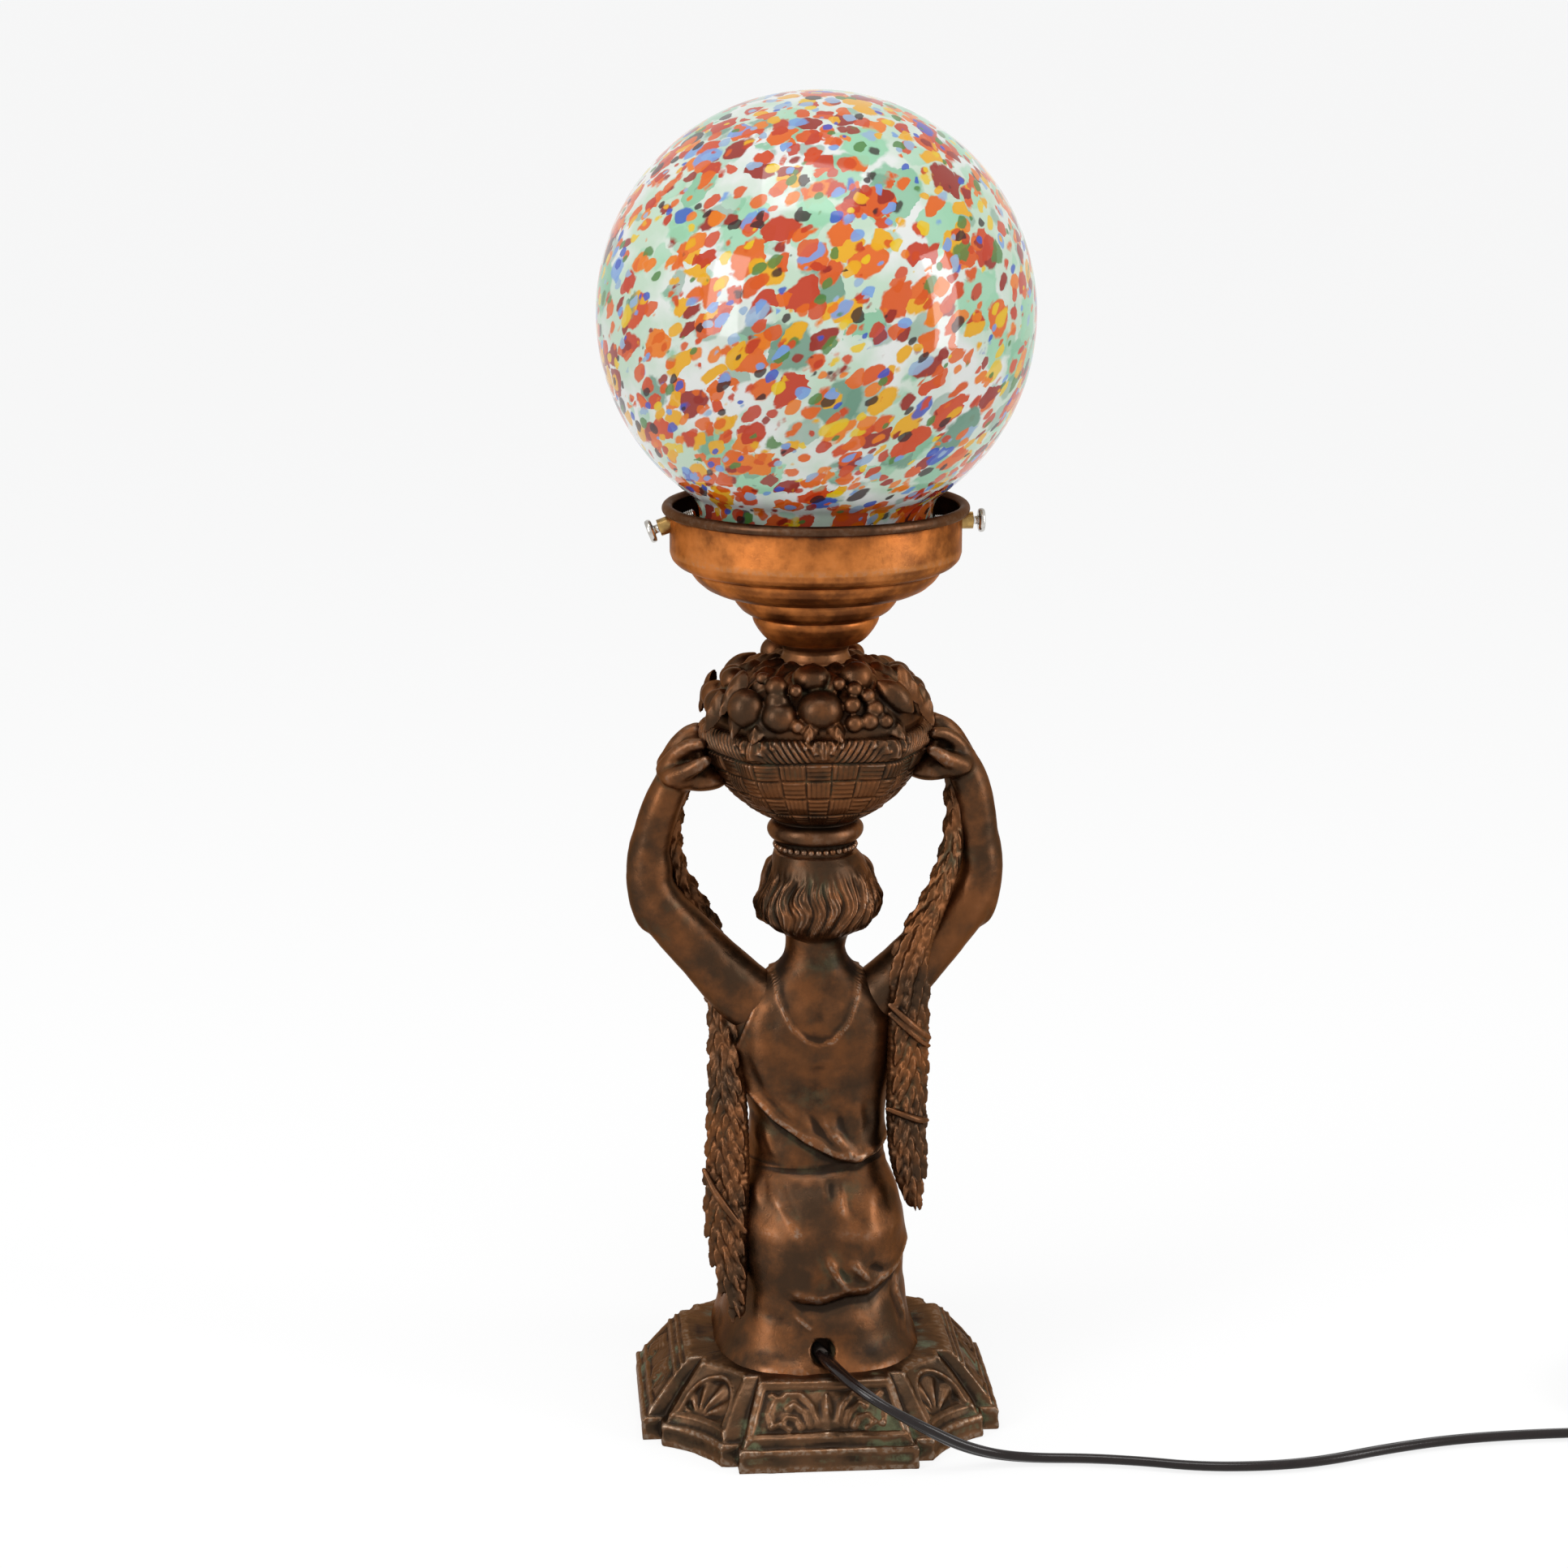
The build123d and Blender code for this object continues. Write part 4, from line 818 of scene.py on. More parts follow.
rough = uneven(np.stack([x.ravel(), y.ravel(), z.ravel()], 1), 0.2, 7.0).reshape(x.shape)
lift = hair * hair_share + face * face_share + 0.22 * rough * hair_share
x, y = x + lift * across / length, y + lift * facing / length
x = x - np.interp(z, [176, 183, 190, 197, 204, 208, 211], [0.6, 0.8, 1.0, 1.6, 1.6, 1.0, 0])
mesh = bmesh.new()
loft(mesh, [[Vector((x[k, j], y[k, j], z[k, j])) * 0.001 for j in range(300)] for k in range(len(heights))])
head = link_piece("cast_head", mesh, figure_bronze)
mark_hollows(head, 10)
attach(head, "lamp")
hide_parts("head")

# ---------------------------------------------------------------------------------------
# Arms: cast bare, bent at the elbow and raised to the basket, each with a hand whose thumb
# lies behind and whose fingers lie under the rim. They are soldered to the shoulders.
left_arm = [(14, 0, 151, 11.5), (20, 1, 153, 12.0), (30, 1, 162.5, 11.3), (38.2, 1, 171.5, 10.3),
            (47.5, 0, 181.5, 9.7), (55.6, 0, 191, 9.2), (60.0, 0, 200, 8.1), (60.2, 0, 208, 7.5),
            (58.6, 0.5, 215, 7.3), (57.0, 1, 222, 7.1), (54.6, 2, 229.5, 6.9), (51.8, 2.5, 236, 6.4),
            (48.6, 3, 241, 6.2)]
right_arm = [(14, 0, 151, 11.5), (20, 1, 153, 12.0), (30, 1, 162.5, 11.3), (38.4, 1, 171.5, 10.3),
             (47.6, 0, 181.5, 9.7), (55.4, 0, 191, 9.2), (59.0, 0, 200, 8.0), (58.9, 0, 208, 7.4),
             (58.5, 0.5, 215, 7.2), (57.8, 1, 222, 7.1), (56.7, 2, 229.5, 7.0), (54.6, 2.5, 237.5, 6.6),
             (50.8, 3, 244, 6.3)]
hand_bones = [  # thumb, then fingers from the near side to the far side
    [(51.5, 9.0, 240.5, 3.6), (45.5, 13.0, 243.8, 3.1), (42.0, 14.6, 246.2, 2.6), (39.6, 14.8, 247.6, 2.1)],
    [(53.5, 4.5, 242.5, 3.6), (49.5, 7.0, 248.6, 3.2), (45.0, 9.0, 252.0, 2.8), (41.2, 11.0, 252.6, 2.3)],
    [(53.0, 0.0, 243.5, 3.6), (49.5, 0.0, 250.0, 3.3), (45.8, 0.5, 254.0, 2.9), (42.6, 1.0, 255.6, 2.3)],
    [(52.0, -4.5, 243.0, 3.5), (48.5, -6.5, 249.6, 3.1), (44.8, -7.5, 253.2, 2.7), (41.4, -8.5, 254.4, 2.2)],
    [(50.0, -8.5, 241.0, 3.1), (46.5, -12.0, 247.0, 2.8), (42.8, -14.0, 250.0, 2.4), (39.6, -15.5, 250.8, 2.0)]]
hand_masses = [((46.5, 2.0, 241.6), (10.0, 9.6, 6.0)), ((40.5, 4.0, 238.8), (9.5, 8.0, 4.6)),
               ((47.5, 6.0, 240.5), (8.5, 7.0, 5.4)), ((43.0, 1.5, 248.5), (5.6, 9.0, 6.0))]


def eased(points, step=1.0, spread=3.0):
    """A soft path through points of any number of values, evenly spaced."""
    points = np.array(points, float)
    run = np.concatenate([[0], np.cumsum(np.linalg.norm(np.diff(points[:, :3], axis=0), axis=1))])
    count = max(int(run[-1] / step), 4)
    chain = np.stack([np.interp(np.linspace(0, run[-1], count), run, points[:, k])
                      for k in range(points.shape[1])], 1)
    reach = int(3 * spread / step)
    weights = np.exp(-0.5 * (np.arange(-reach, reach + 1) * step / spread) ** 2)
    weights /= weights.sum()
    start = 2 * chain[0] - chain[np.clip(np.arange(reach, 0, -1), 0, count - 1)]
    finish = 2 * chain[-1] - chain[np.clip(np.arange(count - 2, count - 2 - reach, -1), 0, count - 1)]
    padded = np.concatenate([start, chain, finish])
    return np.stack([np.convolve(padded[:, k], weights, mode="valid") for k in range(points.shape[1])], 1)


def add_body(mesh, body):
    """Adds a small finished body to a mesh and returns its points."""
    data = bpy.data.meshes.new("body")
    body.to_mesh(data)
    body.free()
    start = len(mesh.verts)
    mesh.from_mesh(data)
    bpy.data.meshes.remove(data)
    mesh.verts.ensure_lookup_table()
    return mesh.verts[start:]


def ball_shape(segments):
    """A round body, made once for each fineness."""
    name = f"ball_{segments}"
    if name not in bpy.data.meshes:
        body = bmesh.new()
        bmesh.ops.create_uvsphere(body, u_segments=segments, v_segments=segments * 2 // 3, radius=1.0)
        body.to_mesh(bpy.data.meshes.new(name))
        body.free()
    return bpy.data.meshes[name]


def lump(mesh, middle, half, segments=28, turned=None):
    """A round or oval body in millimetres."""
    start = len(mesh.verts)
    mesh.from_mesh(ball_shape(segments))
    mesh.verts.ensure_lookup_table()
    shape = Matrix.Translation(Vector(middle)) @ (turned or Matrix.Identity(4)) @ Matrix.Diagonal((*half, 1))
    for v in mesh.verts[start:]:
        v.co = (shape @ v.co) * 0.001
    return mesh.verts[start:]


def limb(mesh, points, sides=28, spread=3.0):
    """A round limb of changing thickness, with round ends, through (x, y, z, radius) in mm."""
    path = eased(points, 1.0, spread)
    circle = [(math.cos(2 * math.pi * k / sides), math.sin(2 * math.pi * k / sides)) for k in range(sides)]
    body = bmesh.new()
    sweep(body, [Vector(p[:3]) * 0.001 for p in path], circle,
          scaled=lambda share: float(np.interp(share, np.linspace(0, 1, len(path)), path[:, 3])) * 0.001)
    add_body(mesh, body)
    for end in (path[0], path[-1]):
        lump(mesh, end[:3], (end[3],) * 3, 20)


def melt(piece, voxel, rounds=2, rough=0.0):
    """Runs the overlapping bodies of a piece together into one cast skin, a little uneven."""
    change = piece.modifiers.new("melt", "REMESH")
    change.mode, change.voxel_size, change.use_smooth_shade = "VOXEL", voxel, True
    seen = piece.evaluated_get(bpy.context.evaluated_depsgraph_get())
    data = bpy.data.meshes.new_from_object(seen)
    piece.modifiers.clear()
    mesh = bmesh.new()
    mesh.from_mesh(data)
    for _ in range(rounds):
        bmesh.ops.smooth_vert(mesh, verts=mesh.verts[:], factor=0.5, use_axis_x=True, use_axis_y=True,
                              use_axis_z=True)
    bmesh.ops.recalc_face_normals(mesh, faces=mesh.faces[:])
    mesh.normal_update()
    for v in mesh.verts:
        v.co += v.normal * (rough * air_noise(v.co * 90) + rough * 0.4 * air_noise(v.co * 300))
    for face in mesh.faces:
        face.smooth = True
    mesh.to_mesh(piece.data)
    mesh.free()
    bpy.data.meshes.remove(data)


for side, name, path, raised in ((1, "left_arm", left_arm, 0.0), (-1, "right_arm", right_arm, 2.6)):
    mesh = bmesh.new()
    limb(mesh, [(x * side, y, z, r) for x, y, z, r in path])
    lump(mesh, (24 * side, 0.5, 157), (12.0, 12.5, 11.0))
    lump(mesh, (59.3 * side, -0.6, 203), (8.3, 8.7, 22.0), 40)
    for middle, half in hand_masses:
        lump(mesh, (middle[0] * side, middle[1], middle[2] + raised), half)
    for bone in hand_bones:
        limb(mesh, [(x * side, y, z + raised, r) for x, y, z, r in bone], 16, 1.5)
    arm = link_piece("cast_" + name, mesh, figure_bronze)
    melt(arm, 0.00062, 11, 0.00022)
    mark_hollows(arm, 12)
    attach(arm, "lamp")
    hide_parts(name)

# ---------------------------------------------------------------------------------------
# Garlands: two ropes of overlapping laurel leaves, cast and soldered on. They start at the
# hands, run down inside the forearms, pass the shoulders, one before and one behind, and hang
# along the sides of the dress, with ribbons wound across them.
left_garland = [  # x, y, z, half width, half thickness
    (47.8, 0, 235, 3.0, 3.0), (50.4, -1, 224, 3.2, 3.0), (51.2, -2.5, 213, 3.6, 3.2),
    (49.0, -5.5, 202, 4.2, 3.6), (44.2, -8.5, 192, 4.8, 3.8), (39.0, -11, 182, 5.6, 4.0),
    (34.0, -9, 166, 7.0, 5.0), (32.2, -1, 150, 7.0, 5.8), (32.0, 6, 134, 7.6, 6.2),
    (31.8, 11, 116, 9.0, 6.8), (32.2, 14, 97, 10.0, 7.0), (32.8, 17, 80, 10.0, 6.8),
    (32.2, 20.5, 66, 8.6, 6.0), (30.8, 24, 56, 6.0, 4.8), (29.4, 27, 47, 2.6, 3.2)]
right_garland = [
    (-48.8, 1, 236, 3.2, 3.0), (-50.0, 2, 226, 3.8, 3.2), (-49.2, 4, 213, 5.0, 3.8),
    (-47.2, 6, 204, 5.6, 4.2), (-43.0, 8.5, 195, 5.8, 4.6), (-38.6, 11.5, 187, 6.8, 4.8),
    (-34.4, 13.5, 179, 7.8, 5.2), (-32.4, 14.0, 169, 8.4, 5.6), (-32.2, 13.5, 158, 8.8, 6.0),
    (-32.0, 13, 147, 9.4, 6.6), (-31.8, 13, 133, 9.4, 6.8), (-31.0, 14.5, 118, 9.0, 6.8),
    (-31.4, 17, 103, 8.8, 6.2), (-32.4, 19, 93, 6.8, 5.2), (-33.2, 20.5, 86, 2.8, 3.4)]
ribbons = {1: [[(41.2, 16.8, 97, 1.0), (38.2, 21.2, 91, 1.3), (33.0, 24.6, 84, 1.3), (27.0, 24.2, 76, 1.0)]],
           -1: [[(-25.2, 18.6, 158, 1.0), (-31.0, 21.4, 153, 1.3), (-37.2, 19.0, 147, 1.3), (-40.0, 14, 144, 0.9)],
                [(-25.2, 18.4, 154.6, 0.9), (-31.0, 21.2, 149.6, 1.0), (-37.0, 18.8, 143.6, 1.0), (-39.8, 14, 141, 0.8)],
                [(-24.4, 21.4, 120, 1.0), (-31.0, 23.0, 117.6, 1.3), (-36.6, 20.8, 115, 1.3), (-39.2, 16, 113.6, 0.9)]]}


def leaf_body(mesh, middle, tip, outward, length, width, thick=0.95, segments=36):
    """A pointed leaf with a bent blade, a midrib and side ribs."""
    made = lump(mesh, (0, 0, 0), (1000, 1000, 1000), segments)
    tip = Vector(tip).normalized()
    outward = Vector(outward)
    outward = (outward - tip * outward.dot(tip)).normalized()
    across = tip.cross(outward)
    for v in made:
        a, b, c = v.co.z, v.co.x, v.co.y
        side = b * (1 - 0.42 * a - 0.25 * a * a)
        rib = 0.28 * math.cos(9.0 * (a - 0.7 * abs(b))) * (1 - abs(b)) * (c > 0)
        crest = 0.5 * math.exp(-(b / 0.16) ** 2) * (c > 0) * (1 - a * a)
        bow = -0.55 * b * b * width - 0.30 * a * a * length * 0.4
        v.co = (Vector(middle) + tip * (a * length) + across * (side * width)
                + outward * (c * thick + rib + crest + bow)) * 0.001


def away(place, side):
    """The direction in which a garland's leaves face at a place."""
    dress = Vector((0.52 * side, 0.85, 0))
    arm = Vector((-0.62 * side, 0.78, 0.05)).normalized()
    share = float(smooth(150, 186, place[2]))
    return (dress * (1 - share) + arm * share).normalized()


for side, name, route in ((1, "left_garland", left_garland), (-1, "right_garland", right_garland)):
    chance = random.Random(7 + side)
    path = eased(route, 1.2, 3.0)
    mesh = bmesh.new()
    for k in range(0, len(path), 2):
        x, y, z, wide, thick = path[k]
        along = Vector(path[min(k + 1, len(path) - 1), :3] - path[max(k - 1, 0), :3]).normalized()
        face = away((x, y, z), side)
        face = (face - along * face.dot(along)).normalized()
        across = along.cross(face)
        turned = Matrix((across, face, along)).transposed().to_4x4()
        lump(mesh, (x, y, z), (wide * 0.84, thick * 0.80, 3.6), 18, turned)
        if k % 4:
            continue
        count = 4 if wide > 7.6 else 3 if wide > 4.8 else 2
        for n in range(count):
            spot = (n - (count - 1) / 2) / (count / 2) + (0.5 if (k // 4) % 2 else -0.5) / count
            lean = across * (0.30 * spot + chance.uniform(-0.12, 0.12))
            out = (face * math.cos(1.15 * spot) + across * math.sin(1.15 * spot)).normalized()
            base = Vector((x, y, z)) + across * (wide * 0.82 * math.sin(1.15 * spot)) \
                + face * (thick * 0.80 * math.cos(1.15 * spot)) + along * chance.uniform(-0.9, 0.9)
            leaf_body(mesh, base, along + lean + out * 0.06, out, 4.9 + chance.uniform(-0.4, 0.5),
                      0.86 * wide / count, 1.25 if z < 180 else 0.8, 20)
    for ribbon in ribbons[side]:
        limb(mesh, ribbon, 14, 2.0)
    garland = link_piece("cast_" + name, mesh, figure_bronze)
    melt(garland, 0.00046, 1)
    mark_hollows(garland, 7)
    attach(garland, "lamp")
    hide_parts(name)

# ---------------------------------------------------------------------------------------
# Gallery: the globe's holder, spun from thin copper sheet in three rounded steps below a
# straight wall, with its rim rolled outwards and lacquered dark. The nipple's nut clamps it
# down on the collar.
gallery_sheet = 0.8
gallery_steps = [(5.3, 287.0), (14.5, 287.0), (16.8, 287.6), (18.7, 289.4), (20.6, 291.9), (22.0, 294.4),
                 (22.4, 296.0), (21.9, 296.7), (23.8, 297.2), (26.2, 298.8), (28.2, 301.2), (29.3, 303.4),
                 (28.9, 304.2), (31.6, 304.5), (35.6, 305.3), (39.2, 307.0), (42.2, 309.6), (44.2, 312.4),
                 (44.0, 313.3), (46.0, 313.8), (48.6, 315.0), (50.5, 316.9), (51.2, 319.2)]
gallery_wall = 51.2
bead_middle, bead_radius = (52.0, 334.5), 1.9


def rounded(points, step=0.35, spread=0.5):
    """A chain of (radius, height) points through the given ones, with its corners eased."""
    points = np.array(points, float)
    run = np.concatenate([[0], np.cumsum(np.hypot(*np.diff(points, axis=0).T))])
    along = np.arange(0, run[-1], step)
    chain = np.stack([np.interp(along, run, points[:, k]) for k in (0, 1)], 1)
    reach = int(math.ceil(3 * spread / step))
    weights = np.exp(-0.5 * (np.arange(-reach, reach + 1) * step / spread) ** 2)
    weights /= weights.sum()
    padded = np.concatenate([2 * chain[0] - chain[reach:0:-1], chain,
                             2 * points[-1] - chain[-1:-reach - 1:-1]])
    soft = np.stack([np.convolve(padded[:, k], weights, mode="valid") for k in (0, 1)], 1)
    return [tuple(p) for p in soft[:len(chain)]] + [tuple(points[-1])]


def arc(middle, radius, start, end, count):
    """Points of an arc in a (radius, height) outline, with its angles in degrees."""
    turns = [math.radians(start + (end - start) * k / count) for k in range(count + 1)]
    return [(middle[0] + radius * math.cos(t), middle[1] + radius * math.sin(t)) for t in turns]


def spun(outline, segments, closed=True):
    """A body of revolution about the lamp's axis from a (radius, height) outline in mm."""
    mesh = bmesh.new()
    chain = [mesh.verts.new((r * 0.001, 0, z * 0.001)) for r, z in outline]
    edges = [mesh.edges.new(pair) for pair in zip(chain, chain[1:])]
    if closed:
        edges.append(mesh.edges.new((chain[-1], chain[0])))
    bmesh.ops.spin(mesh, geom=chain + edges, axis=(0, 0, 1), cent=(0, 0, 0), steps=segments,
                   angle=2 * math.pi, use_merge=True)
    bmesh.ops.remove_doubles(mesh, verts=mesh.verts[:], dist=1e-6)
    bmesh.ops.recalc_face_normals(mesh, faces=mesh.faces[:])
    return mesh


outer = rounded(gallery_steps) + [(gallery_wall, z) for z in (321.5, 324, 326.5, 329, 331, 332.4)]
roll = arc(bead_middle, bead_radius, -112, 180, 22)
inner = [(r - gallery_sheet, z + gallery_sheet * 0.8) for r, z in outer[::-1][1:-1]]
outline = outer + roll + [(gallery_wall - gallery_sheet, 333.2)] + inner + [(5.3, 287.8)]
mesh = spun(outline, 160)
for v in mesh.verts:
    v.co += v.normal * 0.00012 * air_noise(v.co * 42)
for face in mesh.faces:
    middle = face.calc_center_median()
    outward = face.normal.dot(Vector((middle.x, middle.y, 0))) > 0 or face.normal.z < -0.2
    face.material_index = 0 if outward and middle.z < 0.3329 else 1
gallery_copper = bronzed("gallery_copper", (0.140, 0.044, 0.013), (0.50, 0.152, 0.032),
                         (0.56, 0.215, 0.058), 0.20, 0.45, 0.0, 0.00012)
rim_lacquer = bronzed("rim_lacquer", (0.020, 0.013, 0.009), (0.050, 0.024, 0.013),
                      (0.15, 0.060, 0.024), 0.15, 0.40, 0.0, 0.00012)
gallery = link_piece("copper_gallery", mesh, gallery_copper, rim_lacquer)
mark_hollows(gallery, 8)
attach(gallery, "lamp")
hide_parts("gallery")

# ---------------------------------------------------------------------------------------
# Basket: cast in one with its beaded foot. The bowl is chequered with blocks of upright and
# level withies, and its rim is a rope whose strands run both ways from the leaves that hang
# over it. In plan it has four long and two short sides with soft corners.
basket_faces = [((0, 1), 36.0), ((0, -1), 36.0), ((1, 0), 43.4), ((-1, 0), 43.4)]
basket_faces += [((0.879 * i, 0.476 * j), 40.6) for i in (1, -1) for j in (1, -1)]
basket_half = 43.4
bowl = [(223.4, 15.4, 0.0), (225.6, 19.4, 0.12), (228.5, 24.2, 0.3), (232.5, 29.2, 0.55),
        (236.5, 33.0, 0.75), (240.5, 35.9, 0.9), (244.5, 38.2, 1.0), (249.2, 40.3, 1.0)]
block_rows = [223.8, 229.2, 236.3, 243.4, 250.2]
blocks_around, block_shift = 26, 3.4
rope_middle, rope_half, rope_pitch, rope_lean = 254.4, 4.3, 2.3, 0.62


def plan(turn, sharp):
    """The basket's reach in a direction, as a share of its half width."""
    total = 0.0
    for (nx, ny), far in basket_faces:
        total = total + np.maximum(nx * np.sin(turn) + ny * np.cos(turn), 0) ** 22 / (far / basket_half) ** 22
    return (1 - sharp) + sharp * total ** (-1 / 22)


fine = np.linspace(0, 2 * math.pi, 7201)
reach = plan(fine, 1.0) * basket_half
run = np.concatenate([[0], np.cumsum(np.hypot(np.diff(reach * np.sin(fine)), np.diff(reach * np.cos(fine))))])
columns = 624
turn = np.interp(np.arange(columns) / columns * run[-1], run, fine)
along = np.arange(columns) / columns * run[-1]
leaf_places = [0.0, run[-1] / 2] + [float(np.interp(math.atan2(i * 26.7, j * 36.0) % (2 * math.pi), fine, run))
                                    for i in (1, -1) for j in (1, -1)]
levels = [(208.8, 13.2, 0.0), (211.0, 13.6, 0.0), (212.6, 13.7, 0.0), (214.6, 13.8, 0.0)]
for k in range(15):
    bend = math.radians(-84 + 12 * k)
    levels.append((218.9 + 3.5 * math.sin(bend), 13.7 + 3.5 * math.cos(bend), 0.0))
fine_bowl = np.arange(223.4, 249.3, 0.34)
levels += [(z, float(np.interp(z, [b[0] for b in bowl], [b[1] for b in bowl])),
            float(np.interp(z, [b[0] for b in bowl], [b[2] for b in bowl]))) for z in fine_bowl]
for k in range(25):
    bend = math.radians(-78 + 6.9 * k)
    levels.append((rope_middle + rope_half * math.sin(bend), 39.4 + 3.0 * math.cos(bend), 1.0))
levels += [(259.0, 38.0, 1.0), (258.6, 36.0, 1.0), (258.4, 30.0, 1.0), (258.4, 16.0, 1.0), (258.4, 2.0, 1.0)]

rows = []
for z, half, sharp in levels:
    lift = np.zeros(columns)
    u = (along + block_shift) / run[-1] * blocks_around
    level = np.searchsorted(block_rows, z) - 1
    if 0 <= level < 4 and z < 250.2:
        low, high = block_rows[level], block_rows[level + 1]
        fu, fv = u - np.floor(u), (z - low) / (high - low)
        upright = (np.floor(u).astype(int) + level) % 2 == 0
        ends_v, ends_u = smooth(0, 0.13, fv) * smooth(0, 0.13, 1 - fv), smooth(0, 0.1, fu) * smooth(0, 0.1, 1 - fu)
        stakes = np.sqrt(np.abs(np.sin(math.pi * 5 * fu))) * 0.62 * ends_v + 0.42 * math.sin(math.pi * fv)
        weavers = math.sqrt(abs(math.sin(math.pi * 4 * fv))) * 0.62 * ends_u + 0.42 * np.sin(math.pi * fu)
        lift += np.where(upright, stakes * ends_u ** 0.3, weavers * ends_v ** 0.3) \
            * smooth(222.6, 225.5, z) * smooth(250.2, 249.2, z)
    rope = smooth(rope_middle - 5.0, rope_middle - 3.6, z) * smooth(rope_middle + 5.2, rope_middle + 4.0, z)
    if half < 38.6:
        rope = 0.0
    hand = np.sign(np.sin(turn))
    strands = np.abs(np.sin(math.pi * (along + hand * (rope_middle - z) * rope_lean) / rope_pitch)) ** 0.8
    leaves, cover = np.zeros(columns), np.zeros(columns)
    for k, place in enumerate(leaf_places):
        d = (along - place + run[-1] / 2) % run[-1] - run[-1] / 2
        d, h = np.abs(d) / (1.0 if k < 2 else 1.25), np.full(columns, z)
        near = np.abs(d) < 11
        if rope and near.any():
            leaf = ridge(d, h, [(0, 262), (0, 251.4)], 1.5, 2.0, 0.06) + ridge(d, h, [(0, 260), (0, 252)], 0.3, -0.6)
            leaf += ridge(d, h, [(1.6, 261), (3.6, 256.8), (2.7, 253.6)], 1.15, 1.5, 0.05)
            leaf += ridge(d, h, [(3.8, 261), (6.4, 258.4), (6.2, 255.6)], 1.05, 1.2, 0.05)
            leaf -= ridge(d, h, [(2.4, 260), (3.0, 254.6)], 0.3, 0.5) + ridge(d, h, [(5.2, 260), (6.2, 257)], 0.3, 0.4)
            leaves = np.maximum(leaves, np.where(near, leaf, 0))
            cover = np.maximum(cover, np.where(near, np.exp(-(d / 5.0) ** 4), 0))
    lift = lift + rope * (1.25 * (strands - 0.5) * (1 - 0.85 * cover)) + rope * leaves
    out = half * plan(turn, sharp) + lift
    rows.append([Vector((out[j] * math.sin(turn[j]), out[j] * math.cos(turn[j]), z)) * 0.001
                 for j in range(columns)])
mesh = bmesh.new()
loft(mesh, rows)
for v in mesh.verts:
    v.co += v.normal * 0.00016 * air_noise(v.co * 170)
bead_count, bead_ring = 34, 14.0
for k in range(bead_count):
    bend = 2 * math.pi * k / bead_count
    lump(mesh, (bead_ring * math.sin(bend), bead_ring * math.cos(bend), 213.1), (1.25, 1.25, 1.25), 12)
basket = link_piece("cast_basket", mesh, figure_bronze)
mark_hollows(basket, 7)
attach(basket, "lamp")
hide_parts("basket")

# ---------------------------------------------------------------------------------------
# Fruit: apples, pears, grapes and lemons heaped among ribbed leaves, one thin-walled casting
# that fills the basket. Its top carries the copper-coloured collar. The side that the
# picture doesn't show holds the same kinds of fruit.
heap = [(257.4, 38.6), (261.0, 39.6), (265.0, 38.4), (269.0, 36.2), (272.5, 33.0), (275.5, 29.4),
        (277.5, 25.0), (279.2, 19.6), (280.4, 14.6), (281.0, 8.0)]
round_fruit = [  # place, half sizes
    ((3.4, 23.4, 278.2), (6.6, 6.2, 5.2)), ((0.9, 30.6, 268.6), (8.0, 7.6, 6.8)),
    ((15.2, 30.4, 266.4), (6.3, 6.2, 5.9)), ((15.7, 29.4, 271.2), (4.4, 4.2, 4.6)),
    ((16.0, 28.2, 276.2), (4.1, 4.0, 4.0)), ((9.6, 31.4, 275.6), (2.4, 2.4, 2.4)),
    ((26.4, 27.0, 268.8), (6.5, 6.3, 6.9)), ((20.6, 25.4, 279.0), (2.3, 2.3, 2.2)),
    ((-12.2, 23.6, 278.6), (5.8, 5.6, 5.4)), ((-5.6, 30.2, 277.6), (2.3, 2.3, 2.3)),
    ((-10.8, 30.2, 275.6), (2.8, 2.8, 2.7)), ((-15.6, 29.4, 273.0), (2.7, 2.7, 2.6)),
    ((-10.0, 32.4, 270.6), (3.1, 3.0, 3.0)), ((-17.8, 30.4, 268.6), (3.4, 3.3, 3.3)),
    ((-16.0, 32.8, 264.9), (3.2, 3.2, 3.1)), ((-10.6, 33.2, 264.2), (3.2, 3.2, 3.1)),
    ((-21.6, 31.0, 264.4), (2.8, 2.8, 2.7)), ((9.0, 33.2, 263.4), (2.6, 2.6, 2.4)),
    ((34.6, 9.0, 266.6), (5.6, 6.0, 5.4)), ((-34.8, 8.0, 266.2), (5.4, 6.0, 5.4)),
    ((29.0, 3.0, 273.8), (5.0, 5.4, 4.6)), ((-28.8, 2.0, 274.0), (5.2, 5.2, 4.4))]
lemon_place, lemon_half, lemon_tilt = (-25.6, 25.2, 271.8), (4.7, 4.6, 7.7), -48
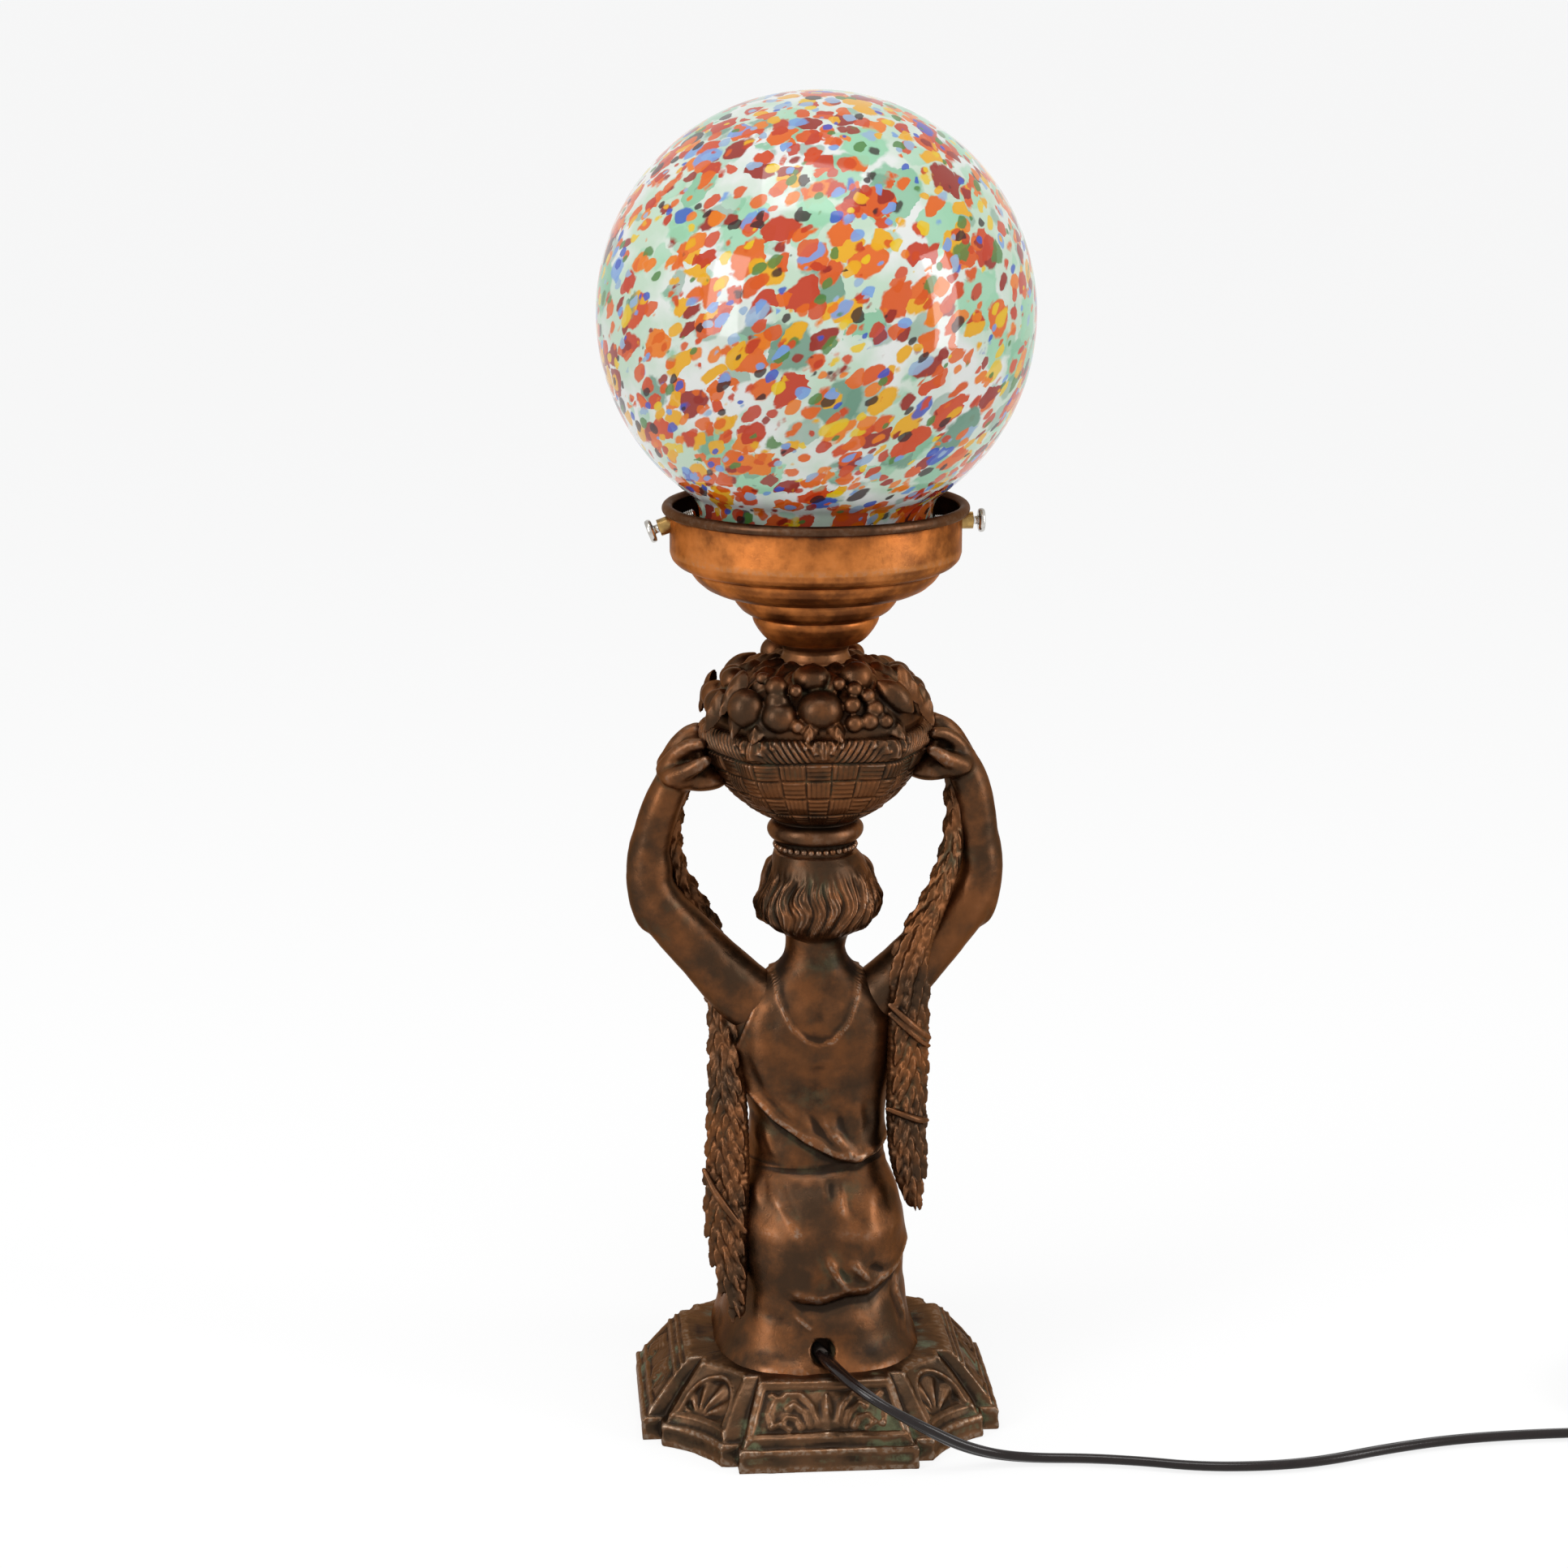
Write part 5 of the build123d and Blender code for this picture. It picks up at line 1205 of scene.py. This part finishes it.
leaves = [  # middle, tip's direction, outward direction, half length, half width
    ((31.5, 22.0, 273.5), (0.5, 0.1, -0.86), (0.75, 0.55, 0.4), 9.5, 4.6),
    ((38.0, 16.5, 265.5), (0.35, -0.1, -0.93), (0.85, 0.45, 0.25), 8.5, 4.2),
    ((22.5, 20.5, 275.6), (0.75, -0.1, -0.6), (0.45, 0.55, 0.7), 6.5, 3.8),
    ((29.0, 11.0, 272.4), (0.7, -0.2, -0.68), (0.65, 0.3, 0.7), 7.5, 4.2),
    ((-32.5, 19.5, 274.5), (-0.5, -0.2, -0.84), (-0.7, 0.5, 0.5), 9.5, 4.6),
    ((-38.5, 15.0, 266.5), (-0.3, 0.0, -0.95), (-0.85, 0.45, 0.25), 8.5, 4.4),
    ((-17.5, 18.0, 277.8), (-0.8, -0.1, -0.55), (-0.35, 0.5, 0.8), 6.5, 3.6),
    ((-24.0, 12.0, 275.2), (-0.85, 0.2, -0.5), (-0.45, 0.3, 0.85), 7.0, 4.0),
    ((5.0, 35.0, 262.8), (0.2, 0.7, -0.7), (0.0, 0.75, 0.65), 5.5, 3.4),
    ((-4.5, 35.4, 262.6), (-0.3, 0.7, -0.65), (0.0, 0.75, 0.65), 5.5, 3.2),
    ((23.5, 32.0, 262.0), (0.3, 0.7, -0.65), (0.3, 0.75, 0.6), 6.0, 3.6),
    ((-26.0, 30.5, 262.2), (-0.4, 0.7, -0.6), (-0.3, 0.75, 0.6), 6.0, 3.6),
    ((30.5, 27.5, 264.5), (0.2, 0.3, -0.93), (0.55, 0.8, 0.2), 6.5, 3.4)]

mesh = bmesh.new()
ring_turns = [2 * math.pi * k / 96 for k in range(96)]
loft(mesh, [[Vector((half * float(plan(t, 0.9)) * math.sin(t), half * float(plan(t, 0.9)) * math.cos(t), z)) * 0.001
             for t in ring_turns] for z, half in heap])
for turned_round in (0, 1):
    sign = -1 if turned_round else 1
    for (px, py, pz), half in round_fruit:
        if turned_round and pz > 278.8:
            continue
        lump(mesh, (px * sign, py * sign, pz), half, 30)
    lemon = Matrix.Translation(Vector((lemon_place[0] * sign, lemon_place[1] * sign, lemon_place[2])) * 0.001) \
        @ Matrix.Rotation(math.radians(-lemon_tilt * sign), 4, "Y") \
        @ Matrix.Diagonal((lemon_half[0] / 1000, lemon_half[1] / 1000, lemon_half[2] / 1000, 1))
    for v in lump(mesh, (0, 0, 0), (1000, 1000, 1000), 30):
        taper = 1 - 0.28 * v.co.z ** 4
        v.co = lemon @ Vector((v.co.x * taper, v.co.y * taper, v.co.z * (1 + 0.14 * v.co.z ** 8)))
    for middle, tip, outward, length, width in leaves:
        if turned_round and middle[2] > 272:
            continue
        leaf_body(mesh, (middle[0] * sign, middle[1] * sign, middle[2]), (tip[0] * sign, tip[1] * sign, tip[2]),
                  (outward[0] * sign, outward[1] * sign, outward[2]), length, width)
for k in range(22):
    turned, out = 2 * math.pi * (k + 0.5) / 22, (18.4, 25.6)[k % 2]
    leaf_body(mesh, (out * math.sin(turned), out * math.cos(turned), (279.6, 277.2)[k % 2]),
              (math.sin(turned), math.cos(turned), (-0.32, -0.62)[k % 2]),
              (0.4 * math.sin(turned), 0.4 * math.cos(turned), 1.0), 6.8, 4.0, 1.3, 28)
fruit = link_piece("cast_fruit", mesh, figure_bronze)
melt(fruit, 0.00046, 1)
mark_hollows(fruit, 9)
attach(fruit, "lamp")
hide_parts("fruit_heap")

# ---------------------------------------------------------------------------------------
# Collar: a short turned copper-coloured neck with a cove, which the nipple draws down on the
# fruit. It lifts the gallery clear of the leaves.
collar_outline = [(5.3, 279.2), (13.0, 279.2), (13.0, 280.4), (12.2, 281.6), (11.4, 283.4), (11.6, 285.0),
                  (12.6, 286.2), (13.0, 287.0), (5.3, 287.0)]
mesh = spun(rounded(collar_outline, 0.3, 0.3), 96)
collar_copper = bronzed("collar_copper", (0.080, 0.038, 0.018), (0.23, 0.090, 0.033),
                        (0.38, 0.17, 0.065), 0.15, 0.45, 0.1, 0.00015)
collar = link_piece("turned_collar", mesh, collar_copper)
mark_hollows(collar, 6)
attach(collar, "lamp")
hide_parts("collar")

# ---------------------------------------------------------------------------------------
# Thumb screws: three nickel-plated steel screws through brass bosses in the gallery's wall
# hold the globe by its neck. Each has a threaded shank and a dished round head; the one on
# the left of the picture hangs outwards.
screw_height, thread_pitch = 329.2, 0.7
thread_radius, thread_core = 2.0, 1.68
screw_tip, screw_neck, screw_end = 41.4, 55.6, 57.0


def metal_group():
    """Plain metal that was handled for years: cloudy tarnish and fine scratches."""
    made = bpy.data.node_groups.new("handled_metal", "ShaderNodeTree")
    for name, kind in (("Bright", "NodeSocketColor"), ("Tarnish", "NodeSocketColor"),
                       ("Share", "NodeSocketFloat"), ("Smoothest", "NodeSocketFloat")):
        made.interface.new_socket(name, in_out="INPUT", socket_type=kind)
    for name, kind in (("Color", "NodeSocketColor"), ("Roughness", "NodeSocketFloat"),
                       ("Height", "NodeSocketFloat")):
        made.interface.new_socket(name, in_out="OUTPUT", socket_type=kind)
    given, out = made.nodes.new("NodeGroupInput"), made.nodes.new("NodeGroupOutput")
    place = node(made, "ShaderNodeTexCoord").outputs["Object"]
    cloud = node(made, "ShaderNodeTexNoise", {"Vector": place, "Scale": 190.0, "Detail": 5.0}).outputs[0]
    stretched = node(made, "ShaderNodeMapping", {"Vector": place, "Scale": (900.0, 900.0, 90.0)}).outputs[0]
    scratch = node(made, "ShaderNodeTexNoise", {"Vector": stretched, "Scale": 1.0, "Detail": 3.0}).outputs[0]
    share = node(made, "ShaderNodeMapRange", {0: cloud, 1: 0.40, 2: 0.66}).outputs[0]
    share = node(made, "ShaderNodeMath", {0: share, 1: given.outputs["Share"]}, operation="MULTIPLY").outputs[0]
    colour = node(made, "ShaderNodeMix", {0: share, 6: given.outputs["Bright"],
                                          7: given.outputs["Tarnish"]}, data_type="RGBA").outputs[2]
    rough = node(made, "ShaderNodeMath", {0: cloud, 1: 0.22, 2: given.outputs["Smoothest"]},
                 operation="MULTIPLY_ADD").outputs[0]
    made.links.new(colour, out.inputs["Color"])
    made.links.new(rough, out.inputs["Roughness"])
    made.links.new(scratch, out.inputs["Height"])
    return made


handled_metal = metal_group()


def metal(name, bright, tarnish, share, smoothest):
    """A plated or bare metal with its own tones, share of tarnish and polish."""
    made, tree, skin = new_material(name)
    finish = tree.nodes.new("ShaderNodeGroup")
    finish.node_tree = handled_metal
    for key, value in (("Bright", (*bright, 1)), ("Tarnish", (*tarnish, 1)), ("Share", share),
                       ("Smoothest", smoothest)):
        finish.inputs[key].default_value = value
    tree.links.new(finish.outputs["Color"], skin.inputs["Base Color"])
    tree.links.new(finish.outputs["Roughness"], skin.inputs["Roughness"])
    bump = node(tree, "ShaderNodeBump", {"Height": finish.outputs["Height"], "Strength": 0.25,
                                         "Distance": 0.00004})
    tree.links.new(bump.outputs[0], skin.inputs["Normal"])
    skin.inputs["Metallic"].default_value = 1.0
    return made


def repaint(name, material):
    """Gives a kept CAD node a better material."""
    for slot in nodes[name].material_slots:
        slot.material = material


nickel = metal("nickel_plate", (0.60, 0.58, 0.55), (0.20, 0.17, 0.13), 0.75, 0.10)
old_brass = metal("old_brass", (0.46, 0.29, 0.10), (0.13, 0.075, 0.030), 0.85, 0.20)
shank_outline = [(0, screw_tip), (1.0, screw_tip), (thread_core, screw_tip + 0.5)]
while shank_outline[-1][1] + thread_pitch < screw_neck:
    s = shank_outline[-1][1]
    shank_outline += [(thread_radius, s + thread_pitch * 0.45), (thread_radius, s + thread_pitch * 0.55),
                      (thread_core, s + thread_pitch)]
shank_outline += [(1.5, screw_neck), (1.5, screw_end - 0.3), (1.9, screw_end), (1.15, screw_end),
                  (1.15, screw_end + 0.8), (0, screw_end + 0.8)]
head_outline = [(1.25, 0.0), (3.2, 0.0), (3.9, 0.25), (4.2, 0.8), (4.2, 1.5), (3.95, 2.1), (3.5, 2.4),
                (3.1, 2.25), (2.5, 1.75), (1.5, 1.5), (0, 1.45), (0, 1.15), (1.25, 1.15)]
for number, angle, droop in ((1, 0, 21), (2, 180, 0), (3, 270, 0)):
    at_wall = Matrix.Rotation(math.radians(angle), 4, "Z") @ Matrix.Translation((0.0512, 0, screw_height / 1000)) \
        @ Matrix.Rotation(math.radians(90 + droop), 4, "Y") @ Matrix.Translation((0, 0, -0.0512))
    tilt = math.cos(math.radians(droop))
    short = (1 - 1 / tilt) * (gallery_wall - screw_tip) + thread_radius * math.tan(math.radians(droop))
    mesh = spun([(r, s + max(short, 0) * (s < screw_tip + 0.6)) for r, s in shank_outline], 24, False)
    bmesh.ops.transform(mesh, matrix=at_wall, verts=mesh.verts[:])
    shank = link_piece(f"thumb_screw_{number}_shank", mesh, nickel)
    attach(shank, f"screw_{number}_shank")
    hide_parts(f"screw_shank_{number}")
    mesh = spun([(r, screw_end + s) for r, s in rounded(head_outline, 0.12, 0.12)], 48)
    bmesh.ops.transform(mesh, matrix=at_wall, verts=mesh.verts[:])
    head = link_piece(f"thumb_screw_{number}_head", mesh, nickel)
    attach(head, f"screw_{number}_head")
    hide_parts(f"screw_head_{number}")
repaint("screw_bosses", old_brass)

# ---------------------------------------------------------------------------------------
# Globe: mould-blown opal glass, cased over chips of coloured glass that melted into it and
# were drawn slantwise as the ball was turned. Its neck flares to a lip that rests on the
# gallery's ledge, out of sight.
globe_radius, globe_glass = 76.3, 3.0
neck_radius, lip_radius = 41.0, 49.0
globe_middle, lip_foot, lip_top = 402.0, 316.3, 319.6
neck_top = globe_middle - math.sqrt(globe_radius ** 2 - neck_radius ** 2)
ball_start = math.degrees(math.asin((neck_top - globe_middle) / globe_radius))

outside = [(lip_radius - 1.0, lip_foot), (lip_radius, lip_foot + 0.9), (lip_radius, lip_top - 0.9),
           (lip_radius - 1.2, lip_top), (neck_radius + 2.0, lip_top + 1.2), (neck_radius, lip_top + 3.2)]
outside += [(neck_radius, z) for z in (326, 329, 332, 334.5)]
corner = outside + arc((0, globe_middle), globe_radius, ball_start + 1.6, ball_start + 14, 12)
outside = rounded(corner, 0.8, 1.1)
outside += arc((0, globe_middle), globe_radius, ball_start + 15, 90, 84)
thinner = globe_radius - globe_glass
inside = arc((0, globe_middle), thinner, 90, ball_start + 5, 84)
inside += [(neck_radius - globe_glass, z) for z in (336, 332, 328, 322, lip_foot)]
mesh = spun(outside + inside, 192)
for v in mesh.verts:
    v.co += v.normal * 0.00018 * (air_noise(v.co * 26) - 0.9)


def chip_group():
    """Chips of glass scattered through a ball: where they lie and a random number for each."""
    made = bpy.data.node_groups.new("glass_chips", "ShaderNodeTree")
    for name in ("Scale", "Twist", "Ragged", "Size", "Share", "Offset"):
        made.interface.new_socket(name, in_out="INPUT", socket_type="NodeSocketFloat")
    for name in ("Mask", "Pick", "Edge"):
        made.interface.new_socket(name, in_out="OUTPUT", socket_type="NodeSocketFloat")
    given, out = made.nodes.new("NodeGroupInput"), made.nodes.new("NodeGroupOutput")
    place = node(made, "ShaderNodeTexCoord").outputs["Object"]
    place = node(made, "ShaderNodeMapping", {"Vector": place, "Location": (0, 0, -0.402)}).outputs[0]

    def maths(operation, *values):
        return node(made, "ShaderNodeMath", dict(enumerate(values)), operation=operation).outputs[0]

    height = node(made, "ShaderNodeSeparateXYZ", {0: place}).outputs[2]
    lower = maths("MAXIMUM", maths("MULTIPLY", height, -1.0), 0.0)
    swirl = maths("MULTIPLY", maths("ADD", height, maths("MULTIPLY", maths("MULTIPLY", lower, lower), -9.0)),
                  given.outputs["Twist"])
    turned = node(made, "ShaderNodeVectorRotate", {"Vector": place, "Angle": swirl},
                  rotation_type="Z_AXIS").outputs[0]
    wobble = node(made, "ShaderNodeTexNoise", {"Vector": turned, "Scale": 130.0, "Detail": 3.0}).outputs[1]
    wobble = node(made, "ShaderNodeVectorMath", {0: wobble, 1: (0.5, 0.5, 0.5)}, operation="SUBTRACT").outputs[0]
    wobble = node(made, "ShaderNodeVectorMath", {0: wobble, "Scale": given.outputs["Ragged"]},
                  operation="SCALE").outputs[0]
    moved = node(made, "ShaderNodeVectorMath", {0: turned, 1: wobble}, operation="ADD").outputs[0]
    moved = node(made, "ShaderNodeVectorMath", {0: moved, 1: given.outputs["Offset"]}, operation="ADD").outputs[0]
    cells = node(made, "ShaderNodeTexVoronoi", {"Vector": moved, "Scale": given.outputs["Scale"]},
                 feature="F1")
    chance = node(made, "ShaderNodeSeparateColor", {0: cells.outputs["Color"]})
    size = maths("MULTIPLY", given.outputs["Size"], maths("MULTIPLY_ADD", chance.outputs[1], 0.75, 0.35))
    near = maths("SUBTRACT", size, cells.outputs["Distance"])
    mask = node(made, "ShaderNodeMapRange", {0: near, 1: 0.0, 2: 0.075}).outputs[0]
    here = maths("LESS_THAN", chance.outputs[0], given.outputs["Share"])
    made.links.new(maths("MULTIPLY", mask, here), out.inputs["Mask"])
    made.links.new(chance.outputs[2], out.inputs["Pick"])
    made.links.new(node(made, "ShaderNodeMapRange", {0: near, 1: 0.22, 2: 0.0}).outputs[0], out.inputs["Edge"])
    return made


glass_chips = chip_group()
spatter, tree, skin = new_material("spatter_glass")
place = node(tree, "ShaderNodeTexCoord").outputs["Object"]
milk = node(tree, "ShaderNodeTexNoise", {"Vector": place, "Scale": 38.0, "Detail": 4.0}).outputs[0]
milk = node(tree, "ShaderNodeMapRange", {0: milk, 1: 0.42, 2: 0.60}).outputs[0]
colour = node(tree, "ShaderNodeMix", {0: milk, 6: (0.52, 0.53, 0.51, 1), 7: (0.36, 0.46, 0.36, 1)},
              data_type="RGBA").outputs[2]
mint = [(0.15, 0.34, 0.21), (0.21, 0.42, 0.27), (0.085, 0.19, 0.13)]
reds = [(0.36, 0.028, 0.006), (0.50, 0.088, 0.004), (0.42, 0.043, 0.005), (0.54, 0.135, 0.005),
        (0.21, 0.014, 0.007), (0.54, 0.27, 0.005), (0.46, 0.064, 0.004)]
blues = [(0.12, 0.23, 0.46), (0.024, 0.060, 0.33), (0.54, 0.36, 0.006), (0.026, 0.010, 0.011),
         (0.055, 0.15, 0.032), (0.21, 0.30, 0.42)]
chips = [  # cells a metre, twist, raggedness, size, share, offset, strength and colours
    (48.0, 5.0, 0.011, 0.62, 0.62, 0.31, 0.85, mint), (84.0, 7.0, 0.007, 0.60, 0.55, 0.77, 0.55, mint),
    (98.0, 8.0, 0.0085, 0.66, 0.62, 0.12, 0.97, reds), (135.0, 9.0, 0.0065, 0.66, 0.60, 0.53, 0.97, reds),
    (50.0, 5.0, 0.009, 0.50, 0.36, 2.21, 0.94, mint), (112.0, 10.0, 0.006, 0.52, 0.36, 0.91, 0.88, blues),
    (180.0, 9.0, 0.0050, 0.62, 0.52, 1.37, 0.92, reds), (215.0, 10.0, 0.004, 0.56, 0.36, 1.93, 0.9, blues)]
for scale, twist, ragged, size, share, offset, strength, tones in chips:
    layer = tree.nodes.new("ShaderNodeGroup")
    layer.node_tree = glass_chips
    for key, value in (("Scale", scale), ("Twist", -0.6 * twist), ("Ragged", ragged), ("Size", size),
                       ("Share", share), ("Offset", offset)):
        layer.inputs[key].default_value = value
    ramp = tree.nodes.new("ShaderNodeValToRGB")
    ramp.color_ramp.interpolation = "CONSTANT"
    while len(ramp.color_ramp.elements) < len(tones):
        ramp.color_ramp.elements.new(0.5)
    for k, tone in enumerate(tones):
        ramp.color_ramp.elements[k].position = k / len(tones)
        ramp.color_ramp.elements[k].color = (*tone, 1)
    tree.links.new(layer.outputs["Pick"], ramp.inputs[0])
    rim = node(tree, "ShaderNodeMath", {0: layer.outputs["Edge"], 1: 0.45}, operation="MULTIPLY").outputs[0]
    tone = node(tree, "ShaderNodeMix", {0: rim, 6: ramp.outputs[0], 7: (0.9, 0.9, 0.9, 1)},
                data_type="RGBA", blend_type="MULTIPLY").outputs[2]
    mask = node(tree, "ShaderNodeMath", {0: layer.outputs["Mask"], 1: strength}, operation="MULTIPLY").outputs[0]
    colour = node(tree, "ShaderNodeMix", {0: mask, 6: colour, 7: tone}, data_type="RGBA").outputs[2]
tree.links.new(colour, skin.inputs["Base Color"])
ripple = node(tree, "ShaderNodeTexNoise", {"Vector": place, "Scale": 60.0, "Detail": 2.0}).outputs[0]
bump = node(tree, "ShaderNodeBump", {"Height": ripple, "Strength": 0.10, "Distance": 0.0004})
tree.links.new(bump.outputs[0], skin.inputs["Normal"])
film = node(tree, "ShaderNodeMapRange", {0: milk, 1: 0.0, 2: 1.0, 3: 0.05, 4: 0.09}).outputs[0]
tree.links.new(film, skin.inputs["Roughness"])
skin.inputs["IOR"].default_value = 1.52
skin.inputs["Specular IOR Level"].default_value = 0.26
globe = link_piece("spatter_globe", mesh, spatter)
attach(globe, "lamp")
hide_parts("globe")

# ---------------------------------------------------------------------------------------
# Inside: the lampholder, its bulb and the fixings, kept from the CAD frame and given worn
# brass, steel, glazed porcelain, clear glass and a matt flex of their own.
steel = metal("dull_steel", (0.36, 0.35, 0.34), (0.14, 0.11, 0.085), 0.8, 0.28)
brass = metal("holder_brass", (0.56, 0.38, 0.14), (0.26, 0.15, 0.055), 0.55, 0.18)
plated = metal("plated_brass", (0.58, 0.56, 0.51), (0.34, 0.30, 0.24), 0.4, 0.14)
tungsten = metal("tungsten", (0.22, 0.21, 0.21), (0.09, 0.085, 0.085), 0.5, 0.35)


def glazed(name, light, dark, scale, rough, clear=0.0):
    """A fired, moulded or blown surface with faint clouding."""
    made, tree, skin = new_material(name)
    place = node(tree, "ShaderNodeTexCoord").outputs["Object"]
    cloud = node(tree, "ShaderNodeTexNoise", {"Vector": place, "Scale": scale, "Detail": 4.0}).outputs[0]
    share = node(tree, "ShaderNodeMapRange", {0: cloud, 1: 0.35, 2: 0.70}).outputs[0]
    colour = node(tree, "ShaderNodeMix", {0: share, 6: (*light, 1), 7: (*dark, 1)}, data_type="RGBA").outputs[2]
    tree.links.new(colour, skin.inputs["Base Color"])
    tree.links.new(node(tree, "ShaderNodeMath", {0: cloud, 1: 0.10, 2: rough},
                        operation="MULTIPLY_ADD").outputs[0], skin.inputs["Roughness"])
    bump = node(tree, "ShaderNodeBump", {"Height": cloud, "Strength": 0.12, "Distance": 0.0001})
    tree.links.new(bump.outputs[0], skin.inputs["Normal"])
    skin.inputs["Transmission Weight"].default_value = clear
    return made


porcelain = glazed("glazed_porcelain", (0.78, 0.76, 0.71), (0.66, 0.63, 0.57), 90.0, 0.12)
clear_glass = glazed("bulb_glass", (0.97, 0.98, 0.98), (0.93, 0.95, 0.95), 40.0, 0.0, 1.0)
stem_glass = glazed("stem_glass", (0.90, 0.93, 0.92), (0.82, 0.87, 0.86), 120.0, 0.02, 1.0)
sleeve = glazed("inner_sleeve", (0.045, 0.033, 0.026), (0.022, 0.017, 0.015), 420.0, 0.55)
tie_wrap = glazed("tie_wrap", (0.020, 0.018, 0.017), (0.040, 0.035, 0.031), 260.0, 0.38)
for name, material in (("nipple", brass), ("nipple_washer", steel),
                       ("lock_nuts", steel), ("holder_cap", brass), ("holder_shell", brass),
                       ("holder_insert", porcelain), ("centre_contact", brass), ("screw_shell", brass),
                       ("terminal_screws", steel), ("bulb_contact", steel), ("bulb_cap", plated),
                       ("bulb_glass", clear_glass), ("bulb_stem", stem_glass), ("filament", tungsten),
                       ("inner_cord", sleeve), ("coil_tie", tie_wrap), ("plug_blades", plated)):
    repaint(name, material)
